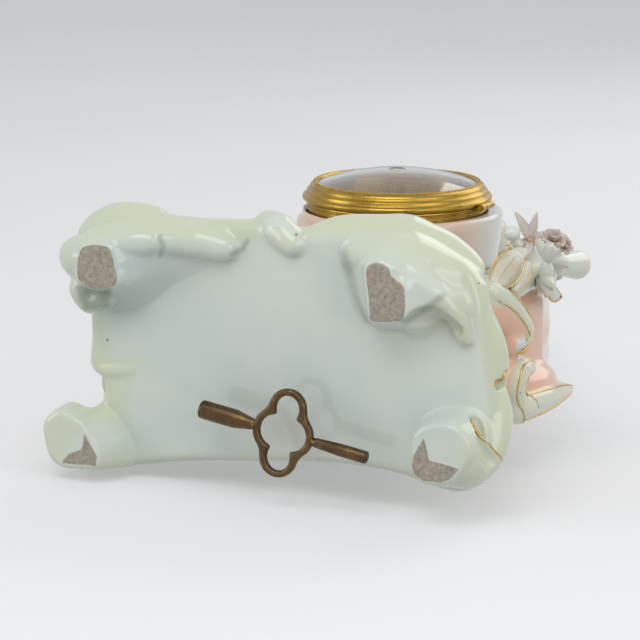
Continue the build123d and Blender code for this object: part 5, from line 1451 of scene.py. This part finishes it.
enamel, t, s = material("enamel")
face = cloud(t, 22, (0.60, 0.62, 0.55), (0.68, 0.69, 0.62))
hair_line = span(t, cells(t, 34, "DISTANCE_TO_EDGE"), 0.012, 0.0)
t.links.new(mix(t, maths(t, "MULTIPLY", hair_line, 0.25), face, (0.42, 0.38, 0.30)), s.inputs["Base Color"])
t.links.new(cloud(t, 60, 0.12, 0.22, 2), s.inputs["Roughness"])
bump(t, s, noise(t, 40, 2), 0.08, 0.001)

m, t, s = material("numeral_ink")
t.links.new(cloud(t, 400, (0.016, 0.018, 0.035), (0.05, 0.05, 0.08), 4, high=0.75), s.inputs["Base Color"])
t.links.new(cloud(t, 200, 0.3, 0.45, 2), s.inputs["Roughness"])
bump(t, s, noise(t, 600), 0.15, 0.0002)
numerals.data.materials.append(m)

# Glass lets light through to the dial without a dark shadow
clear, t, s = material("clear_glass")
t.links.new(cloud(t, 12, (0.93, 0.96, 0.95), (0.97, 0.98, 0.98), 2), s.inputs["Base Color"])
s.inputs["Transmission Weight"].default_value = 1.0
s.inputs["IOR"].default_value = 1.45
t.links.new(cloud(t, 90, 0.01, 0.05, low=0.4, high=0.8), s.inputs["Roughness"])
bump(t, s, noise(t, 18, 2), 0.03, 0.001)
unlit = either(t, t.nodes.new("ShaderNodeLightPath"), "Is Shadow Ray", "Is Diffuse Ray")
mix_shader(t, unlit, s.outputs[0], t.nodes.new("ShaderNodeBsdfTransparent").outputs[0])
glass_dome.data.materials.append(clear)

FINISH = {
    "gilt_brass": gilt, "brass": brass, "steel": steel, "bronze": bronze, "clear_glass": clear,
    "enamel": enamel,
    "porcelain": glaze, "flower_porcelain": glaze,
}
SPECIAL = {"drum": drum_glaze, "hour_hand": gilt, "minute_hand": gilt, "suspension_spring": blued,
           "mainspring": blued,
           "plate_screws": blued, "strap_screws": blued, "click_screw": blued}
slots = {entry["node"]: entry["material_slot"] for entry in frame["record"]["subparts"]}
for name, obj in nodes.items():
    obj.data.materials.clear()
    obj.data.materials.append(SPECIAL.get(name) or FINISH[slots.get(name, "brass")])
for obj in (bezel_trim, ring_trim, door_trim, dial_gilt):
    obj.data.materials.append(gilt)

# Camera at the photograph's angle

cam_data = bpy.data.cameras.new("camera")
cam_data.sensor_width = SENSOR
cam_data.lens = FOCAL / PICTURE * SENSOR
cam = bpy.data.objects.new("camera", cam_data)
scene.collection.objects.link(cam)
axes = Matrix((Vector(RIGHT), Vector(UP), Vector(TO_EYE))).transposed()
cam.matrix_world = Matrix.Translation(Vector(EYE * MM)) @ axes.to_4x4()
scene.camera = cam

# Pale floor under the clock and pale table behind its back; each shows on the clock's side only

PALE, SHEET_GLOW, SHEET_HALF, FLOOR_Z, TABLE_Y = (0.66, 0.67, 0.69), 0.32, 4000, -0.3, 68.5
SEEN_RAYS = ("Is Camera Ray", "Is Glossy Ray", "Is Transmission Ray")


def sheet_of(name, corners, seen_by):
    obj = mesh_object(name, corners, [(0, 1, 2, 3)], smooth=False)
    m, t, s = material(name + "_surface")
    t.links.new(cloud(t, 3, tuple(c * 0.97 for c in PALE), PALE, 2), s.inputs["Base Color"])
    t.links.new(cloud(t, 8, 0.8, 0.9, 2), s.inputs["Roughness"])
    for key, value in (("Specular IOR Level", 0.1), ("Emission Color", PALE),
                       ("Emission Strength", SHEET_GLOW)):
        feed(t, s.inputs[key], value)
    seen = either(t, t.nodes.new("ShaderNodeLightPath"), *seen_by)
    back = t.nodes.new("ShaderNodeNewGeometry").outputs["Backfacing"]
    through = t.nodes.new("ShaderNodeBsdfTransparent").outputs[0]
    mix_shader(t, maths(t, "SUBTRACT", seen, back), through, s.outputs[0])
    obj.data.materials.append(m)


SQUARE = [(a * SHEET_HALF, b * SHEET_HALF) for a, b in ((-1, -1), (1, -1), (1, 1), (-1, 1))]
sheet_of("floor", [(a, b, FLOOR_Z) for a, b in SQUARE], SEEN_RAYS[:1])
sheet_of("table", [(a, TABLE_Y, b) for a, b in SQUARE], SEEN_RAYS)

# The world lights the clock warmly and is seen as a pale grey

world = bpy.data.worlds.new("studio")
scene.world = world
world.use_nodes = True
t = world.node_tree
lighting, shown = t.nodes["Background"], t.nodes.new("ShaderNodeBackground")
for node, colour, strength in ((lighting, (1.0, 0.99, 0.965), 0.5), (shown, (0.70, 0.72, 0.75), 1.0)):
    feed(t, node.inputs[0], colour)
    feed(t, node.inputs[1], strength)
seen = either(t, t.nodes.new("ShaderNodeLightPath"), *SEEN_RAYS)
mix_shader(t, seen, lighting.outputs[0], shown.outputs[0], "World Output")


def lamp(name, place, aim, size, power):
    d = bpy.data.lights.new(name, "AREA")
    d.shape = "RECTANGLE"
    d.size, d.size_y = size
    d.energy = power
    o = bpy.data.objects.new(name, d)
    scene.collection.objects.link(o)
    o.location = place
    o.rotation_euler = (Vector(aim) - Vector(place)).to_track_quat("-Z", "Y").to_euler()


lamp("softbox_front", (0.15, -1.15, -0.75), (0.0, 0.0, 0.06), (1.1, 0.8), 6.5)
lamp("softbox_left", (-1.1, -0.35, -0.7), (0.0, 0.0, 0.06), (0.8, 0.8), 4)
lamp("softbox_right", (1.15, -0.45, -0.35), (0.05, 0.0, 0.11), (0.8, 0.8), 3.3)
lamp("softbox_above", (0.4, -0.8, 1.25), (0.0, 0.0, 0.15), (1.3, 1.0), 5.5)

scene.view_settings.view_transform = "Standard"
